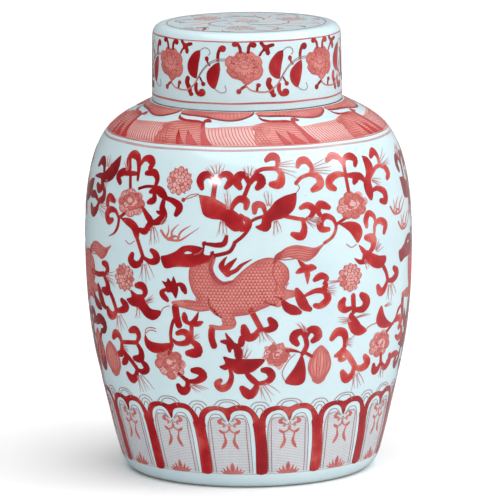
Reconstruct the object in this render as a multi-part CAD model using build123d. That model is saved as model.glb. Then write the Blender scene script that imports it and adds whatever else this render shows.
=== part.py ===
"""Flat-lidded porcelain ginger jar: a hollow thrown body with a short straight neck, and a cap-shaped lid.

Millimetres, +Z up. The origin is the centre of the foot ring's resting plane, and +Z is the axis the
jar was turned about. The front of the painted decoration faces -Y.
"""

import os

from build123d import *

# Overall
OVERALL_HEIGHT = 340.0  # resting plane to the crown of the lid
LID_HEIGHT = 58.7
SEAT_Z = OVERALL_HEIGHT - LID_HEIGHT  # bare ledge on the shoulder that the lid's rim rests on

# Foot
FOOT_RING_INNER_RADIUS = 81.5
FOOT_RING_OUTER_RADIUS = 88.2
FOOT_RECESS_DEPTH = 6.0
FOOT_EDGE_ROUND = 1.2
FOOT_CURVE_MID = (94.3, 4.1)  # rounded step between the foot ring and the wall
WALL_START = (98.8, 13.4)

# Outer wall as (radius, height): a long taper, the belly and the round shoulder
WALL_POINTS = [
    WALL_START,
    (107.7, 48.3),
    (118.9, 101.4),
    (123.8, 168.0),
    (122.9, 204.0),
    (117.4, 236.5),
    (108.4, 257.0),
    (93.2, 270.7),
    (77.5, 279.0),
]
WALL_START_SLOPE = (0.32, 1.0)
WALL_END_SLOPE = (-2.1, 1.0)
BELLY_RADIUS = max(radius for radius, _ in WALL_POINTS)
SEAT_OUTER_RADIUS = 73.2
SEAT_EDGE_ROUND = 1.5

# Hollow
WALL_THICKNESS = 5.5
FLOOR_THICKNESS = 7.0
FLOOR_FLAT_RADIUS = 74.0
INNER_WALL_FIRST = 0.10  # share of the outer wall's length where the inner wall leaves the floor's curve
INNER_WALL_LAST = 0.985  # and where it levels out under the seat ledge
INNER_WALL_SPANS = 10
THROAT_Z = SEAT_Z - 5.2  # the hollow opens into the neck's straight bore here
THROAT_ROUND = 3.0

# Neck
NECK_OUTER_RADIUS = 64.3
NECK_INNER_RADIUS = 59.0
NECK_HEIGHT = 38.0
NECK_LIP_ROUND = 2.2
NECK_ROOT_ROUND = 2.0

# Lid
LID_RIM_RADIUS = 71.9
LID_TOP_RADIUS = 71.0
LID_CORNER_ROUND = 7.6
LID_CROWN_RISE = 0.8
LID_WALL_THICKNESS = 5.2
LID_CEILING_THICKNESS = 5.6
LID_INNER_ROUND = 5.0
LID_RIM_ROUND = 1.0


def turned(*edges):
    """The solid turned about +Z from a closed outline drawn as (radius, height)."""
    return revolve(Plane.XZ * make_face(edges), Axis.Z)


def round_rings(solid, z, low_radius, high_radius, size):
    """Rounds the circular edges at height z whose radius lies between the two given."""
    chosen = [
        edge
        for edge in solid.edges().filter_by(GeomType.CIRCLE)
        if abs(edge.center().Z - z) < 0.01 and low_radius < edge.radius < high_radius
    ]
    return fillet(chosen, size)


def inner_wall(outer_wall):
    """Points one wall thickness inside the outer wall, from above the floor to below the seat ledge."""
    points = []
    for step in range(INNER_WALL_SPANS + 1):
        share = INNER_WALL_FIRST + (INNER_WALL_LAST - INNER_WALL_FIRST) * step / INNER_WALL_SPANS
        along = outer_wall % share
        inward = Vector(-along.Y, along.X)
        points.append(outer_wall @ share + inward * WALL_THICKNESS)
    return points


def jar_body():
    """The thrown body: foot ring, tapering wall, shoulder, seat ledge and neck around one open hollow."""
    foot_curve = ThreePointArc((FOOT_RING_OUTER_RADIUS, 0), FOOT_CURVE_MID, WALL_START)
    outer_wall = Spline(*WALL_POINTS, tangents=[WALL_START_SLOPE, WALL_END_SLOPE])
    floor_z = FOOT_RECESS_DEPTH + FLOOR_THICKNESS
    neck_top = SEAT_Z + NECK_HEIGHT
    hollow = Spline(
        (FLOOR_FLAT_RADIUS, floor_z),
        *inner_wall(outer_wall),
        (NECK_INNER_RADIUS, THROAT_Z),
        tangents=[(1, 0), (-1, 0)],
    )
    seat_and_neck = Polyline(
        outer_wall @ 1,
        (SEAT_OUTER_RADIUS, SEAT_Z),
        (NECK_OUTER_RADIUS, SEAT_Z),
        (NECK_OUTER_RADIUS, neck_top),
        (NECK_INNER_RADIUS, neck_top),
        (NECK_INNER_RADIUS, THROAT_Z),
    )
    base = Polyline(
        (FLOOR_FLAT_RADIUS, floor_z),
        (0, floor_z),
        (0, FOOT_RECESS_DEPTH),
        (FOOT_RING_INNER_RADIUS, FOOT_RECESS_DEPTH),
        (FOOT_RING_INNER_RADIUS, 0),
        (FOOT_RING_OUTER_RADIUS, 0),
    )
    body = turned(foot_curve, outer_wall, seat_and_neck, hollow, base)
    body = round_rings(body, 0, 0, BELLY_RADIUS, FOOT_EDGE_ROUND)
    body = round_rings(body, neck_top, 0, BELLY_RADIUS, NECK_LIP_ROUND)
    body = round_rings(body, THROAT_Z, 0, NECK_OUTER_RADIUS, THROAT_ROUND)
    body = round_rings(body, SEAT_Z, 0, NECK_OUTER_RADIUS + 1, NECK_ROOT_ROUND)
    return round_rings(body, SEAT_Z, NECK_OUTER_RADIUS + 1, BELLY_RADIUS, SEAT_EDGE_ROUND)


def lid():
    """The cap: a slightly tapering skirt that drops over the neck, under an almost flat top."""
    edge_z = OVERALL_HEIGHT - LID_CROWN_RISE
    ceiling_z = OVERALL_HEIGHT - LID_CEILING_THICKNESS
    corner_radius = LID_TOP_RADIUS - LID_CORNER_ROUND
    corner_z = edge_z - LID_CORNER_ROUND
    skirt = Line((LID_RIM_RADIUS, SEAT_Z), (LID_TOP_RADIUS, corner_z))
    corner = CenterArc((corner_radius, corner_z), LID_CORNER_ROUND, 0, 90)
    crown = Spline((corner_radius, edge_z), (0, OVERALL_HEIGHT), tangents=[(-1, 0), (-1, 0)])
    inside = Polyline(
        (0, OVERALL_HEIGHT),
        (0, ceiling_z),
        (LID_TOP_RADIUS - LID_WALL_THICKNESS, ceiling_z),
        (LID_RIM_RADIUS - LID_WALL_THICKNESS, SEAT_Z),
        (LID_RIM_RADIUS, SEAT_Z),
    )
    cap = turned(skirt, corner, crown, inside)
    cap = round_rings(cap, ceiling_z, 0, BELLY_RADIUS, LID_INNER_ROUND)
    return round_rings(cap, SEAT_Z, 0, BELLY_RADIUS, LID_RIM_ROUND)


os.makedirs("parts", exist_ok=True)
export_step(jar_body(), "parts/jar_body.step")
export_step(lid(), "parts/lid.step")
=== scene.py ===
"""Looks of the iron-red ginger jar: glaze, brushed enamel decoration, floor, light and camera.

The painting is drawn in millimetres on the unrolled surface: a point is (degrees round from the front,
height), and +degrees run to the right. Overlapping strokes are merged into thin closed enamel films that
lie on the turned CAD surfaces. Blender units are metres, in the CAD frame.
"""

import math
import random

import bpy
import numpy as np
from mathutils import Matrix, Vector
from mathutils.geometry import delaunay_2d_cdt
from mathutils.kdtree import KDTree


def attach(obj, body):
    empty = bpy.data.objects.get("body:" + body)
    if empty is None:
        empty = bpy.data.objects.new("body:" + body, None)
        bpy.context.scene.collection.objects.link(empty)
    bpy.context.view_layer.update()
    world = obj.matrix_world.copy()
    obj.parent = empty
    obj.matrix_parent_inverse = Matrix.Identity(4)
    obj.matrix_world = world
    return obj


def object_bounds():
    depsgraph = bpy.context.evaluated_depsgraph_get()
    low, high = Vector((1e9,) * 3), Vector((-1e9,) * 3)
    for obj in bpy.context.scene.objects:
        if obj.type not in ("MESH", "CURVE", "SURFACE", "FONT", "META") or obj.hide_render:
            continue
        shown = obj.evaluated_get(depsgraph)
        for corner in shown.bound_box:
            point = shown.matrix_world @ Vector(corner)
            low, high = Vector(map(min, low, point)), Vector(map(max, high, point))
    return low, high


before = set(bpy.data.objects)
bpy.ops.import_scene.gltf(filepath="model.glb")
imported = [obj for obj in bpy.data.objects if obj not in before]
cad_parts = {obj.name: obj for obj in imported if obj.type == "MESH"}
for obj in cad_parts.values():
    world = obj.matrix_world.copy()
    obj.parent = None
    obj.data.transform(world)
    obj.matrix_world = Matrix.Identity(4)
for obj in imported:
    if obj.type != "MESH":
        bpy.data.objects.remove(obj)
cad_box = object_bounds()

MM = 0.001

# ---------------------------------------------------------------- turned surfaces

RAY_REACH = 0.3  # m, well outside the object
RAY_TURNS = 8
RAY_START = 0.37  # of the step between two rays, clear of the mesh's seams
SAMPLE_STEP = 1.5  # mm of height between radii read from a CAD mesh
TOP_SAMPLES = 24
SMOOTHING = np.array([1.0, 2.0, 3.0, 2.0, 1.0]) / 9.0


def outer_radius(node, height):
    """Outer radius in mm of a turned CAD node at a height in mm."""
    found = 0.0
    for turn in range(RAY_TURNS):
        angle = 2 * math.pi * (turn + RAY_START) / RAY_TURNS
        out = Vector((math.cos(angle), math.sin(angle), 0))
        hit, place, _, _ = node.ray_cast(out * RAY_REACH + Vector((0, 0, height * MM)), -out)
        if hit:
            found = max(found, math.hypot(place.x, place.y) / MM)
    return found


class Skin:
    """A turned surface unrolled flat: x runs round it and y up it, in mm.

    The unrolling is true to size where the radius is span.
    """

    def __init__(self, rise, radii, heights, span):
        self.rise, self.radii, self.heights, self.span = rise, radii, heights, span
        along_r, along_z = np.gradient(radii, rise), np.gradient(heights, rise)
        length = np.hypot(along_r, along_z)
        self.normal_r, self.normal_z = along_z / length, -along_r / length

    def flat(self, point):
        """Where a drawn point in (degrees, mm) lies on the unrolled surface."""
        return (math.radians(point[0]) * self.span, point[1])

    def lay(self, flat, lift, turn):
        """Places in m and normals of unrolled points, lifted in mm off the surface and turned in degrees."""
        angle = flat[:, 0] / self.span + math.radians(turn)
        columns = (self.radii, self.heights, self.normal_r, self.normal_z)
        radius, height, normal_r, normal_z = [np.interp(flat[:, 1], self.rise, c) for c in columns]
        out = radius + lift * normal_r
        places = np.stack([out * np.sin(angle), -out * np.cos(angle), height + lift * normal_z], 1)
        normals = np.stack([normal_r * np.sin(angle), -normal_r * np.cos(angle), normal_z], 1)
        return places * MM, normals


class Top:
    """The lid's nearly flat top seen in plan: x to the right, y to the back, in mm."""

    def __init__(self, node, reach):
        self.radii = np.linspace(0, reach, TOP_SAMPLES)
        self.heights = np.array([self.height(node, r) for r in self.radii])

    @staticmethod
    def height(node, radius):
        hit, place, _, _ = node.ray_cast(Vector((radius * MM, 0, 1)), Vector((0, 0, -1)))
        return place.z / MM

    def flat(self, point):
        return point

    def lay(self, flat, lift, turn):
        angle = math.radians(turn)
        x = flat[:, 0] * math.cos(angle) - flat[:, 1] * math.sin(angle)
        y = flat[:, 0] * math.sin(angle) + flat[:, 1] * math.cos(angle)
        z = np.interp(np.hypot(x, y), self.radii, self.heights) + lift
        return np.stack([x, y, z], 1) * MM, np.tile((0.0, 0.0, 1.0), (len(flat), 1))


def wall_skin(node, low, high, span, by_slope=False):
    """Skin of a node's outer wall between two heights; y is the height, or the distance up the slope."""
    heights = np.linspace(low, high, int((high - low) / SAMPLE_STEP) + 2)
    radii = np.array([outer_radius(node, h) for h in heights])
    radii[2:-2] = np.convolve(radii, SMOOTHING, "valid")
    steps = np.hypot(np.diff(radii), np.diff(heights))
    rise = np.concatenate([[0], np.cumsum(steps)]) if by_slope else heights
    return Skin(rise, radii, heights, span)


# ---------------------------------------------------------------- brushwork

HOOK = (0.45, 0.7, 0.95, 1.2, 1.15, 0.75)  # share of a stroke's width along it
EVEN = (1.0, 1.0)
BRUSH = (0.45, 1.0, 1.1, 0.55)
LEAF = (0.05, 0.8, 1.0, 0.75, 0.05)
FADE = (1.0, 0.8, 0.1)
CURVE_STEP = 1.3  # mm between cross-sections of a stroke
GRID_STEP = 2.6  # mm between points inside a filled shape, so that it follows the curve of the wall
STEP_SHARE = 0.3  # of a wide stroke's width between its cross-sections
SPINE_WIDTH = 2.5  # mm, from where a stroke also gets points along its middle
BROAD_WIDTH = 7  # mm, from where it gets two more rows of them
CAP_SIDES = 16
CAP_LEAST = 0.6  # mm, half the width a stroke's end needs to be rounded
MERGE = 0.004  # mm
SPILL = 1.5  # times its own area that a patch may fill
BLADE_SPREAD = 0.4  # of a grass blade's lean, kept at its foot
BLADE_BEND = 0.3  # degrees
HAND = random.Random(11)  # the small unevenness of a painter's hand


def curve(points, step=CURVE_STEP, closed=False):
    """Smooth line through the points; a point given twice is a corner."""
    p = [np.array(q, float) for q in points]
    count = len(p)
    ends = count if closed else count - 1
    line = []
    for i in range(ends):
        a, b = p[i], p[(i + 1) % count]
        before = p[i - 1] if closed or i > 0 else a
        after = p[(i + 2) % count] if closed or i + 2 < count else b
        chord = np.linalg.norm(b - a)
        if chord < MERGE:
            continue
        pieces = max(2, int(math.ceil(chord / step)))
        for k in range(pieces):
            t = k / pieces
            m0, m1 = (b - before) / 2, (after - a) / 2
            h = t * t * (3 - 2 * t)
            line.append(a * (1 - h) + b * h + m0 * (t * (1 - t) ** 2) - m1 * (t * t * (1 - t)))
    if not closed:
        line.append(p[-1])
    return np.array(line)


def hull(points):
    """Convex outline of a few points, anticlockwise."""
    ordered = sorted(set(map(tuple, points)))
    chains = []
    for run in (ordered, ordered[::-1]):
        chain = []
        for q in run:
            while len(chain) > 1 and cross(chain[-2], chain[-1], q) <= 0:
                chain.pop()
            chain.append(q)
        chains += chain[:-1]
    return chains


def cross(a, b, c):
    return (b[0] - a[0]) * (c[1] - a[1]) - (b[1] - a[1]) * (c[0] - a[0])


def add_piece(mesh, wash, material, body):
    """Puts an enamel mesh in the scene; wash is each point's distance in mm from its stroke's edge."""
    layer = mesh.attributes.new("wash", "FLOAT", "POINT")
    layer.data.foreach_set("value", wash.astype(np.float32))
    mesh.materials.append(material)
    piece = bpy.data.objects.new(mesh.name, mesh)
    bpy.context.scene.collection.objects.link(piece)
    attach(piece, body)


class Film:
    """Brushwork of one colour on one skin, merged into one closed film."""

    def __init__(self, skin):
        self.skin = skin
        self.points, self.patches, self.holes = [], [], set()

    def patch(self, outline, hole=False):
        first = len(self.points)
        self.points += [tuple(q) for q in outline]
        if hole:
            self.holes.add(len(self.patches))
        self.patches.append(list(range(first, len(self.points))))

    def stroke(self, width, points, shape=EVEN):
        """A brush stroke through the points, in mm across at its widest."""
        line = curve([self.skin.flat(q) for q in points], max(CURVE_STEP, width * STEP_SHARE))
        along = np.gradient(line, axis=0)
        along /= np.maximum(np.linalg.norm(along, axis=1), MERGE)[:, None]
        side = np.stack([-along[:, 1], along[:, 0]], 1)
        places = np.linspace(0, 1, len(line))
        half = width / 2 * np.interp(places, np.linspace(0, 1, len(shape)), shape)
        left, right = line + side * half[:, None], line - side * half[:, None]
        for i in range(len(line) - 1):
            self.patch(hull([left[i], right[i], right[i + 1], left[i + 1]]))
        if width > SPINE_WIDTH:
            self.points += [tuple(q) for q in line]
        if width > BROAD_WIDTH:
            self.points += [tuple(q) for q in (line + left) / 2]
            self.points += [tuple(q) for q in (line + right) / 2]
        for end in (0, -1):
            if half[end] > CAP_LEAST:
                self.disc(line[end], half[end], half[end])

    def disc(self, centre, across, up):
        turns = [2 * math.pi * k / CAP_SIDES for k in range(CAP_SIDES)]
        self.patch([(centre[0] + across * math.cos(t), centre[1] + up * math.sin(t)) for t in turns])

    def blot(self, points, hole=False):
        """A filled shape through the outline points."""
        outline = curve([self.skin.flat(q) for q in points], closed=True)
        x, y = outline[:, 0], outline[:, 1]
        if np.dot(x, np.roll(y, -1)) < np.dot(y, np.roll(x, -1)):
            outline = outline[::-1]
        self.patch(outline, hole)
        if not hole:
            low, high = outline.min(0), outline.max(0)
            inside = [
                (u, v)
                for u in np.arange(low[0] + GRID_STEP / 2, high[0], GRID_STEP)
                for v in np.arange(low[1] + GRID_STEP / 2, high[1], GRID_STEP)
            ]
            self.points += inside

    def spilt(self, corners, triangles, owners):
        """Patches too thin to hold their filling, which would run out over the whole surface."""
        filled = np.zeros(len(self.patches))
        for (a, b, c), patches in zip(triangles, owners):
            for k in patches:
                filled[k] += cross(corners[a], corners[b], corners[c]) / 2
        return {k for k, p in enumerate(self.patches) if filled[k] > SPILL * self.outline_area(p) + SPILL}

    def outline_area(self, patch):
        x, y = np.array([self.points[i] for i in patch]).T
        return (np.dot(x, np.roll(y, -1)) - np.dot(y, np.roll(x, -1))) / 2

    def merged(self):
        """Corners and triangles of the strokes' union, and the open edges round it."""
        corners, _, triangles, _, _, owners = delaunay_2d_cdt(
            [Vector(q) for q in self.points], [], self.patches, 0, MERGE
        )
        spilt = self.spilt(corners, triangles, owners)
        kept = [t for t, o in zip(triangles, owners) if set(o) - spilt and not self.holes.intersection(o)]
        kept = np.array(kept, int)
        used, packed = np.unique(kept, return_inverse=True)
        kept = packed.reshape(-1, 3)
        flat = np.array([corners[i] for i in used], float)
        pairs = np.concatenate([kept[:, [0, 1]], kept[:, [1, 2]], kept[:, [2, 0]]])
        both = {tuple(q) for q in pairs.tolist()}
        rim = [q for q in both if (q[1], q[0]) not in both]
        return flat, kept, np.array(sorted(rim), int)

    def build(self, name, lift, depth, material, slot, body, turns):
        """The film as a closed mesh, repeated at the given turns about the axis."""
        flat, triangles, rim = self.merged()
        tree = KDTree(len(rim))
        for k, pair in enumerate(rim):
            tree.insert((*flat[pair[0]], 0), k)
        tree.balance()
        inset = np.array([tree.find((*q, 0))[2] for q in flat])
        count = len(flat)
        places, normals, faces, sides = [], [], [], []
        for k, turn in enumerate(turns):
            top, up = self.skin.lay(flat, lift, turn)
            bottom, _ = self.skin.lay(flat, -depth, turn)
            places += [top, bottom]
            normals.append(up)
            first = 2 * count * k
            faces.append((triangles + first, triangles[:, ::-1] + first + count))
            a, b = rim[:, 0] + first, rim[:, 1] + first
            sides.append(np.stack([b, a, a + count, b + count], 1))
        upper = np.concatenate([f[0] for f in faces])
        lower = np.concatenate([f[1] for f in faces])
        edge = np.concatenate(sides)
        mesh = bpy.data.meshes.new(name)
        mesh.from_pydata(np.concatenate(places).tolist(), [], upper.tolist() + lower.tolist() + edge.tolist())
        smooth = np.ones(len(mesh.polygons), bool)
        smooth[len(upper) + len(lower):] = False
        mesh.polygons.foreach_set("use_smooth", smooth)
        by_corner = np.concatenate([np.concatenate([n, -n]) for n in normals])
        loops = np.zeros((len(mesh.loops), 3))
        rows = np.concatenate([upper, lower]).reshape(-1)
        loops[: len(rows)] = by_corner[rows]
        mesh.normals_split_custom_set(loops.tolist())
        add_piece(mesh, np.tile(inset, 2 * len(turns)), material, body)


class Pen:
    """Draws one motif on the films of a skin, moved round and up by an offset."""

    def __init__(self, films, turn=0.0, rise=0.0):
        self.films, self.turn, self.rise = films, turn, rise

    def at(self, turn, rise=0.0):
        return Pen(self.films, self.turn + turn, self.rise + rise)

    def loaded(self, **swaps):
        """The same pen with other films under some of its films' names, as red="thin" for the paler red
        painted as light.
        """
        swapped = {name: self.films[film] for name, film in swaps.items()}
        return Pen({**self.films, **swapped}, self.turn, self.rise)

    def moved(self, points):
        return [(x + self.turn, y + self.rise) for x, y in points]

    def draw(self, film, width, shape, points):
        self.films[film].stroke(width, self.moved(points), shape)

    def hook(self, width, *points):
        self.draw("red", width, HOOK, points)

    def brush(self, width, *points, film="red"):
        self.draw(film, width, BRUSH, points)

    def stem(self, width, *points, film="red"):
        self.draw(film, width, EVEN, points)

    def leaf(self, width, *points):
        self.draw("red", width, LEAF, points)

    def taper(self, width, *points, film="red"):
        self.draw(film, width, FADE, points)

    def line(self, *points, width=0.5):
        self.draw("line", width, EVEN, points)

    def blot(self, *points, film="red", hole=False):
        self.films[film].blot(self.moved(points), hole)

    def spot(self, x, z, across, up):
        """A round dab, its half width and half height in mm."""
        film = self.films["red"]
        film.disc(film.skin.flat((x + self.turn, z + self.rise)), across, up)

    def grass(self, root, *tips, width=0.75):
        """Fine blades fanned between the tips, springing from beside one root."""
        blades = []
        for before, after in zip(tips, tips[1:]):
            blades += [before, ((before[0] + after[0]) / 2, (before[1] + after[1]) / 2)]
        blades.append(tips[-1])
        middle = np.mean(tips, axis=0)
        for k, tip in enumerate(blades):
            reach = HAND.uniform(1.0, 1.25)
            away = (tip[0] - middle[0], tip[1] - middle[1])
            foot = (root[0] + BLADE_SPREAD * away[0], root[1] + BLADE_SPREAD * away[1])
            end = (root[0] + (tip[0] - root[0]) * reach, root[1] + (tip[1] - root[1]) * reach)
            bend = ((foot[0] + end[0]) / 2 + BLADE_BEND * (-1) ** k, (foot[1] + end[1]) / 2)
            self.draw("grass", width, FADE, (foot, bend, end))


# ---------------------------------------------------------------- materials

MIX_FACTOR, MIX_A, MIX_B, MIX_RESULT = 0, 6, 7, 2  # colour sockets of a mix node
NOISE_LOW, NOISE_HIGH = 0.3, 0.7  # what nearly all of a noise lies between
GRAIN_SCALE = 900  # noise scales are in turns per metre
GRAIN_DEPTH = 0.000006  # m
RIPPLE_DEPTH = 0.00012  # m
DRAWN_EDGE = (0.25, 0.65)  # mm from a stroke's edge, over which its outline ends
GLAZE_COOL = (0.57, 0.72, 0.76)
GLAZE_PALE = (0.63, 0.77, 0.80)
GLAZE_SPECK = (0.78, 0.75, 0.72)
BISCUIT_DARK = (0.50, 0.44, 0.36)
BISCUIT_PALE = (0.66, 0.60, 0.52)
# dark biscuit tones painted as the shadow in the gap where the lid meets the jar
SHADOW_DARK = (0.14, 0.08, 0.06)
SHADOW_PALE = (0.30, 0.20, 0.15)
BISCUIT_ROUGHNESS = 0.65


def node(tree, kind, **values):
    made = tree.nodes.new(kind)
    for name, value in values.items():
        if hasattr(made, name):
            setattr(made, name, value)
        else:
            made.inputs[name.replace("_", " ")].default_value = value
    return made


def new_material(name):
    material = bpy.data.materials.new(name)
    material.use_nodes = True
    tree = material.node_tree
    return material, tree, tree.nodes["Principled BSDF"]


def ramp(tree, factor, stops):
    made = node(tree, "ShaderNodeValToRGB")
    colours = made.color_ramp
    while len(colours.elements) < len(stops):
        colours.elements.new(0.5)
    for element, (place, colour) in zip(colours.elements, stops):
        element.position = place
        element.color = (*colour, 1)
    tree.links.new(factor, made.inputs["Fac"])
    return made.outputs["Color"]


def noise(tree, scale, detail):
    """Noise fixed to the piece itself, so that it rides with it."""
    place = node(tree, "ShaderNodeTexCoord")
    made = node(tree, "ShaderNodeTexNoise", Scale=scale, Detail=detail)
    tree.links.new(place.outputs["Object"], made.inputs["Vector"])
    return made.outputs["Fac"]


def maths(tree, operation, a, b, clamp=False):
    made = node(tree, "ShaderNodeMath", operation=operation, use_clamp=clamp)
    for socket, value in zip(made.inputs, (a, b)):
        if isinstance(value, (int, float)):
            socket.default_value = value
        else:
            tree.links.new(value, socket)
    return made.outputs[0]


def spread(tree, value, low, high, out_low=0.0, out_high=1.0):
    made = node(tree, "ShaderNodeMapRange")
    for name, number in (("From Min", low), ("From Max", high), ("To Min", out_low), ("To Max", out_high)):
        made.inputs[name].default_value = number
    tree.links.new(value, made.inputs["Value"])
    return made.outputs["Result"]


def noise_spread(tree, scale, detail, out_low, out_high):
    return spread(tree, noise(tree, scale, detail), NOISE_LOW, NOISE_HIGH, out_low, out_high)


def mix(tree, factor, a, b, blend="MIX"):
    """A mix of two colours; each of the three inputs is a plain value or a socket."""
    made = node(tree, "ShaderNodeMix", data_type="RGBA", blend_type=blend)
    for index, value in ((MIX_FACTOR, factor), (MIX_A, a), (MIX_B, b)):
        if isinstance(value, bpy.types.NodeSocket):
            tree.links.new(value, made.inputs[index])
        else:
            made.inputs[index].default_value = value
    return made.outputs[MIX_RESULT]


def bump(tree, shader, height, distance):
    made = node(tree, "ShaderNodeBump", Strength=1.0)
    made.inputs["Distance"].default_value = distance
    tree.links.new(height, made.inputs["Height"])
    tree.links.new(made.outputs["Normal"], shader.inputs["Normal"])


def enamel(name, stops, reach, pooling, roughness, edge=1.0, rim=1.0):
    """Brushed overglaze enamel, thin in places and pooled in others.

    Its depth follows the distance from a stroke's edge up to reach, in mm; edge is by how much. The outline
    drawn before the stroke was filled has the shade rim.
    """
    material, tree, shader = new_material(name)
    wash = node(tree, "ShaderNodeAttribute", attribute_name="wash").outputs["Fac"]
    depth = spread(tree, wash, 0, reach, (1 - edge) / 2, (1 + edge) / 2)
    slow = noise_spread(tree, 34, 1, -pooling, pooling)
    quick = noise_spread(tree, 120, 2, -pooling / 2, pooling / 2)
    tone = maths(tree, "ADD", maths(tree, "ADD", depth, slow), quick, clamp=True)
    outline = spread(tree, wash, *DRAWN_EDGE, rim, 1)
    drawn = mix(tree, 1, ramp(tree, tone, stops), outline, "MULTIPLY")
    tree.links.new(drawn, shader.inputs["Base Color"])
    grain = noise(tree, GRAIN_SCALE, 2)
    uneven = spread(tree, grain, NOISE_LOW, NOISE_HIGH, roughness * 0.8, roughness * 1.3)
    tree.links.new(uneven, shader.inputs["Roughness"])
    bump(tree, shader, grain, GRAIN_DEPTH)
    return material


def between(tree, z, low, high):
    """1 where the height z lies between two heights in mm."""
    above = maths(tree, "GREATER_THAN", z, low * MM)
    below = maths(tree, "LESS_THAN", z, high * MM)
    return maths(tree, "MULTIPLY", above, below)


def glaze(name, bare, shadow_band):
    """Bluish-white porcelain glaze over bare biscuit, which shows where the glaze was wiped off.

    bare holds the wiped bands as (lowest, highest, outer radius), and the last argument is the (lowest,
    highest) band of biscuit darkened as a painted shadow where the lid meets the jar, all in mm.
    """
    material, tree, shader = new_material(name)
    split = node(tree, "ShaderNodeSeparateXYZ")
    tree.links.new(node(tree, "ShaderNodeTexCoord").outputs["Object"], split.inputs[0])
    x, y, z = split.outputs
    square = maths(tree, "ADD", maths(tree, "MULTIPLY", x, x), maths(tree, "MULTIPLY", y, y))
    radius = maths(tree, "SQRT", square, 0)
    mask = None
    for low, high, reach in bare:
        inside = maths(tree, "LESS_THAN", radius, reach * MM)
        band = maths(tree, "MULTIPLY", between(tree, z, low, high), inside)
        mask = band if mask is None else maths(tree, "MAXIMUM", mask, band)
    body = ramp(tree, noise(tree, 26, 3), ((NOISE_LOW, GLAZE_COOL), (NOISE_HIGH, GLAZE_PALE)))
    specks = ramp(tree, noise(tree, 520, 1), ((0.74, (1, 1, 1)), (0.80, GLAZE_SPECK)))
    biscuit = ramp(tree, noise(tree, 700, 4), ((0.35, BISCUIT_DARK), (0.65, BISCUIT_PALE)))
    # painted shadow: the biscuit darkened where the lid meets the jar, standing in for the shade in that gap
    painted_shadow = ramp(tree, noise(tree, 300, 3), ((0.35, SHADOW_DARK), (0.7, SHADOW_PALE)))
    # the bare biscuit, with the painted shadow mixed in over its band
    wiped = mix(tree, between(tree, z, *shadow_band), biscuit, painted_shadow)
    colour = mix(tree, mask, mix(tree, 1, body, specks, "MULTIPLY"), wiped)
    tree.links.new(colour, shader.inputs["Base Color"])
    gloss = noise_spread(tree, 90, 2, 0.05, 0.1)
    dull = maths(tree, "MULTIPLY", mask, BISCUIT_ROUGHNESS)
    tree.links.new(maths(tree, "MAXIMUM", gloss, dull), shader.inputs["Roughness"])
    ripple = maths(tree, "ADD", noise(tree, 130, 2), maths(tree, "MULTIPLY", noise(tree, 1500, 2), 0.03))
    bump(tree, shader, ripple, RIPPLE_DEPTH)
    return material


# ---------------------------------------------------------------- motifs on the wall

WALL_DEGREE = 2.06  # mm of wall in one degree where the flowers are
PETAL = ((-1.0, 0.66), (-0.85, 0.92), (-0.3, 1.03), (0.3, 1.03), (0.85, 0.92), (1.0, 0.66))  # turn, reach
PEONY_RINGS = (  # right and up of the middle, share of the size, petals, turn, hairs, share washed
    (0, 0, 0.93, 8, 0, 2, 0.35),
    (0.04, 0.08, 0.64, 6, 0.5, 2, 0.6),
    (-0.02, 0.15, 0.34, 4, 0.2, 1, 0.8),
)
BUD_SIDE = ((0.0, 1.06), (0.42, 0.86), (0.72, 0.62), (0.94, 0.3), (1.0, -0.05), (0.92, -0.38), (0.66, -0.68),
            (0.5, -0.88), (0.0, -1.04))
VEIN_STEP = 0.27  # of a bud's half width


def polar(centre, size, angle, reach, degree):
    """A point of a flower; size is its half width and half height in mm, and degree the mm in one degree."""
    across, up = size[0] * reach * math.cos(angle), size[1] * reach * math.sin(angle)
    return (centre[0] + across / degree, centre[1] + up)


def petal_rings(pen, centre, size, rings, degree, hairs=0, filled=0.0):
    """Rings of overlapping petals drawn by hand.

    rings holds (share of the size, petals, phase), and filled is the share of the petals washed in coral.
    """
    for share, petals, phase in rings:
        half = math.pi / petals
        for k in range(petals):
            middle = phase + 2 * half * k + HAND.uniform(-0.25, 0.25) * half
            swell = share * HAND.uniform(0.88, 1.06)
            wide = half * HAND.uniform(0.9, 1.2)
            arc = [polar(centre, size, middle + turn * wide, swell * reach, degree) for turn, reach in PETAL]
            pen.draw("line", 0.5, EVEN, arc)
            if HAND.random() < filled:
                pen.blot(*arc, polar(centre, size, middle, swell * 0.5, degree), film="coral")
            for hair in range(hairs):
                angle = middle + half * (hair - (hairs - 1) / 2) * 0.7
                reaches = (swell * 0.97, swell * HAND.uniform(0.55, 0.75))
                pen.draw("line", 0.5, FADE, [polar(centre, size, angle, reach, degree) for reach in reaches])


def flower_outline(centre, size, petals, depth, phase, degree):
    """A scalloped outline; depth is the share of the size between two petals."""
    points = []
    for petal in range(petals):
        reach = HAND.uniform(0.94, 1.06)
        for k in range(4):
            angle = phase + 2 * math.pi * (petal + k / 4 - 0.5) / petals
            swell = 1 - depth if k == 0 else reach * (1 - depth + depth * math.sin(math.pi * k / 4))
            points.append(polar(centre, size, angle, swell, degree))
    return points


def peony(pen, x, z, across, up, phase=0.0):
    """A full peony: a pale ball of cupped petals, some washed darker, opening a little above its middle."""
    size = (across, up)
    pen.blot(*flower_outline((x, z), size, 8, 0.12, phase, WALL_DEGREE), film="pink")
    for right, above, share, petals, turn, hairs, washed in PEONY_RINGS:
        centre = (x + right * across, z + above * up)
        petal_rings(pen, centre, size, ((share, petals, phase + turn),), WALL_DEGREE, hairs, washed)
    for _ in range(8):
        middle, reach = HAND.uniform(0, 6.3), HAND.uniform(0.3, 0.8)
        turns = (middle - 0.25, middle, middle + 0.25)
        pen.draw("scroll", 1.6, BRUSH, [polar((x, z), size, turn, reach, WALL_DEGREE) for turn in turns])


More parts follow.
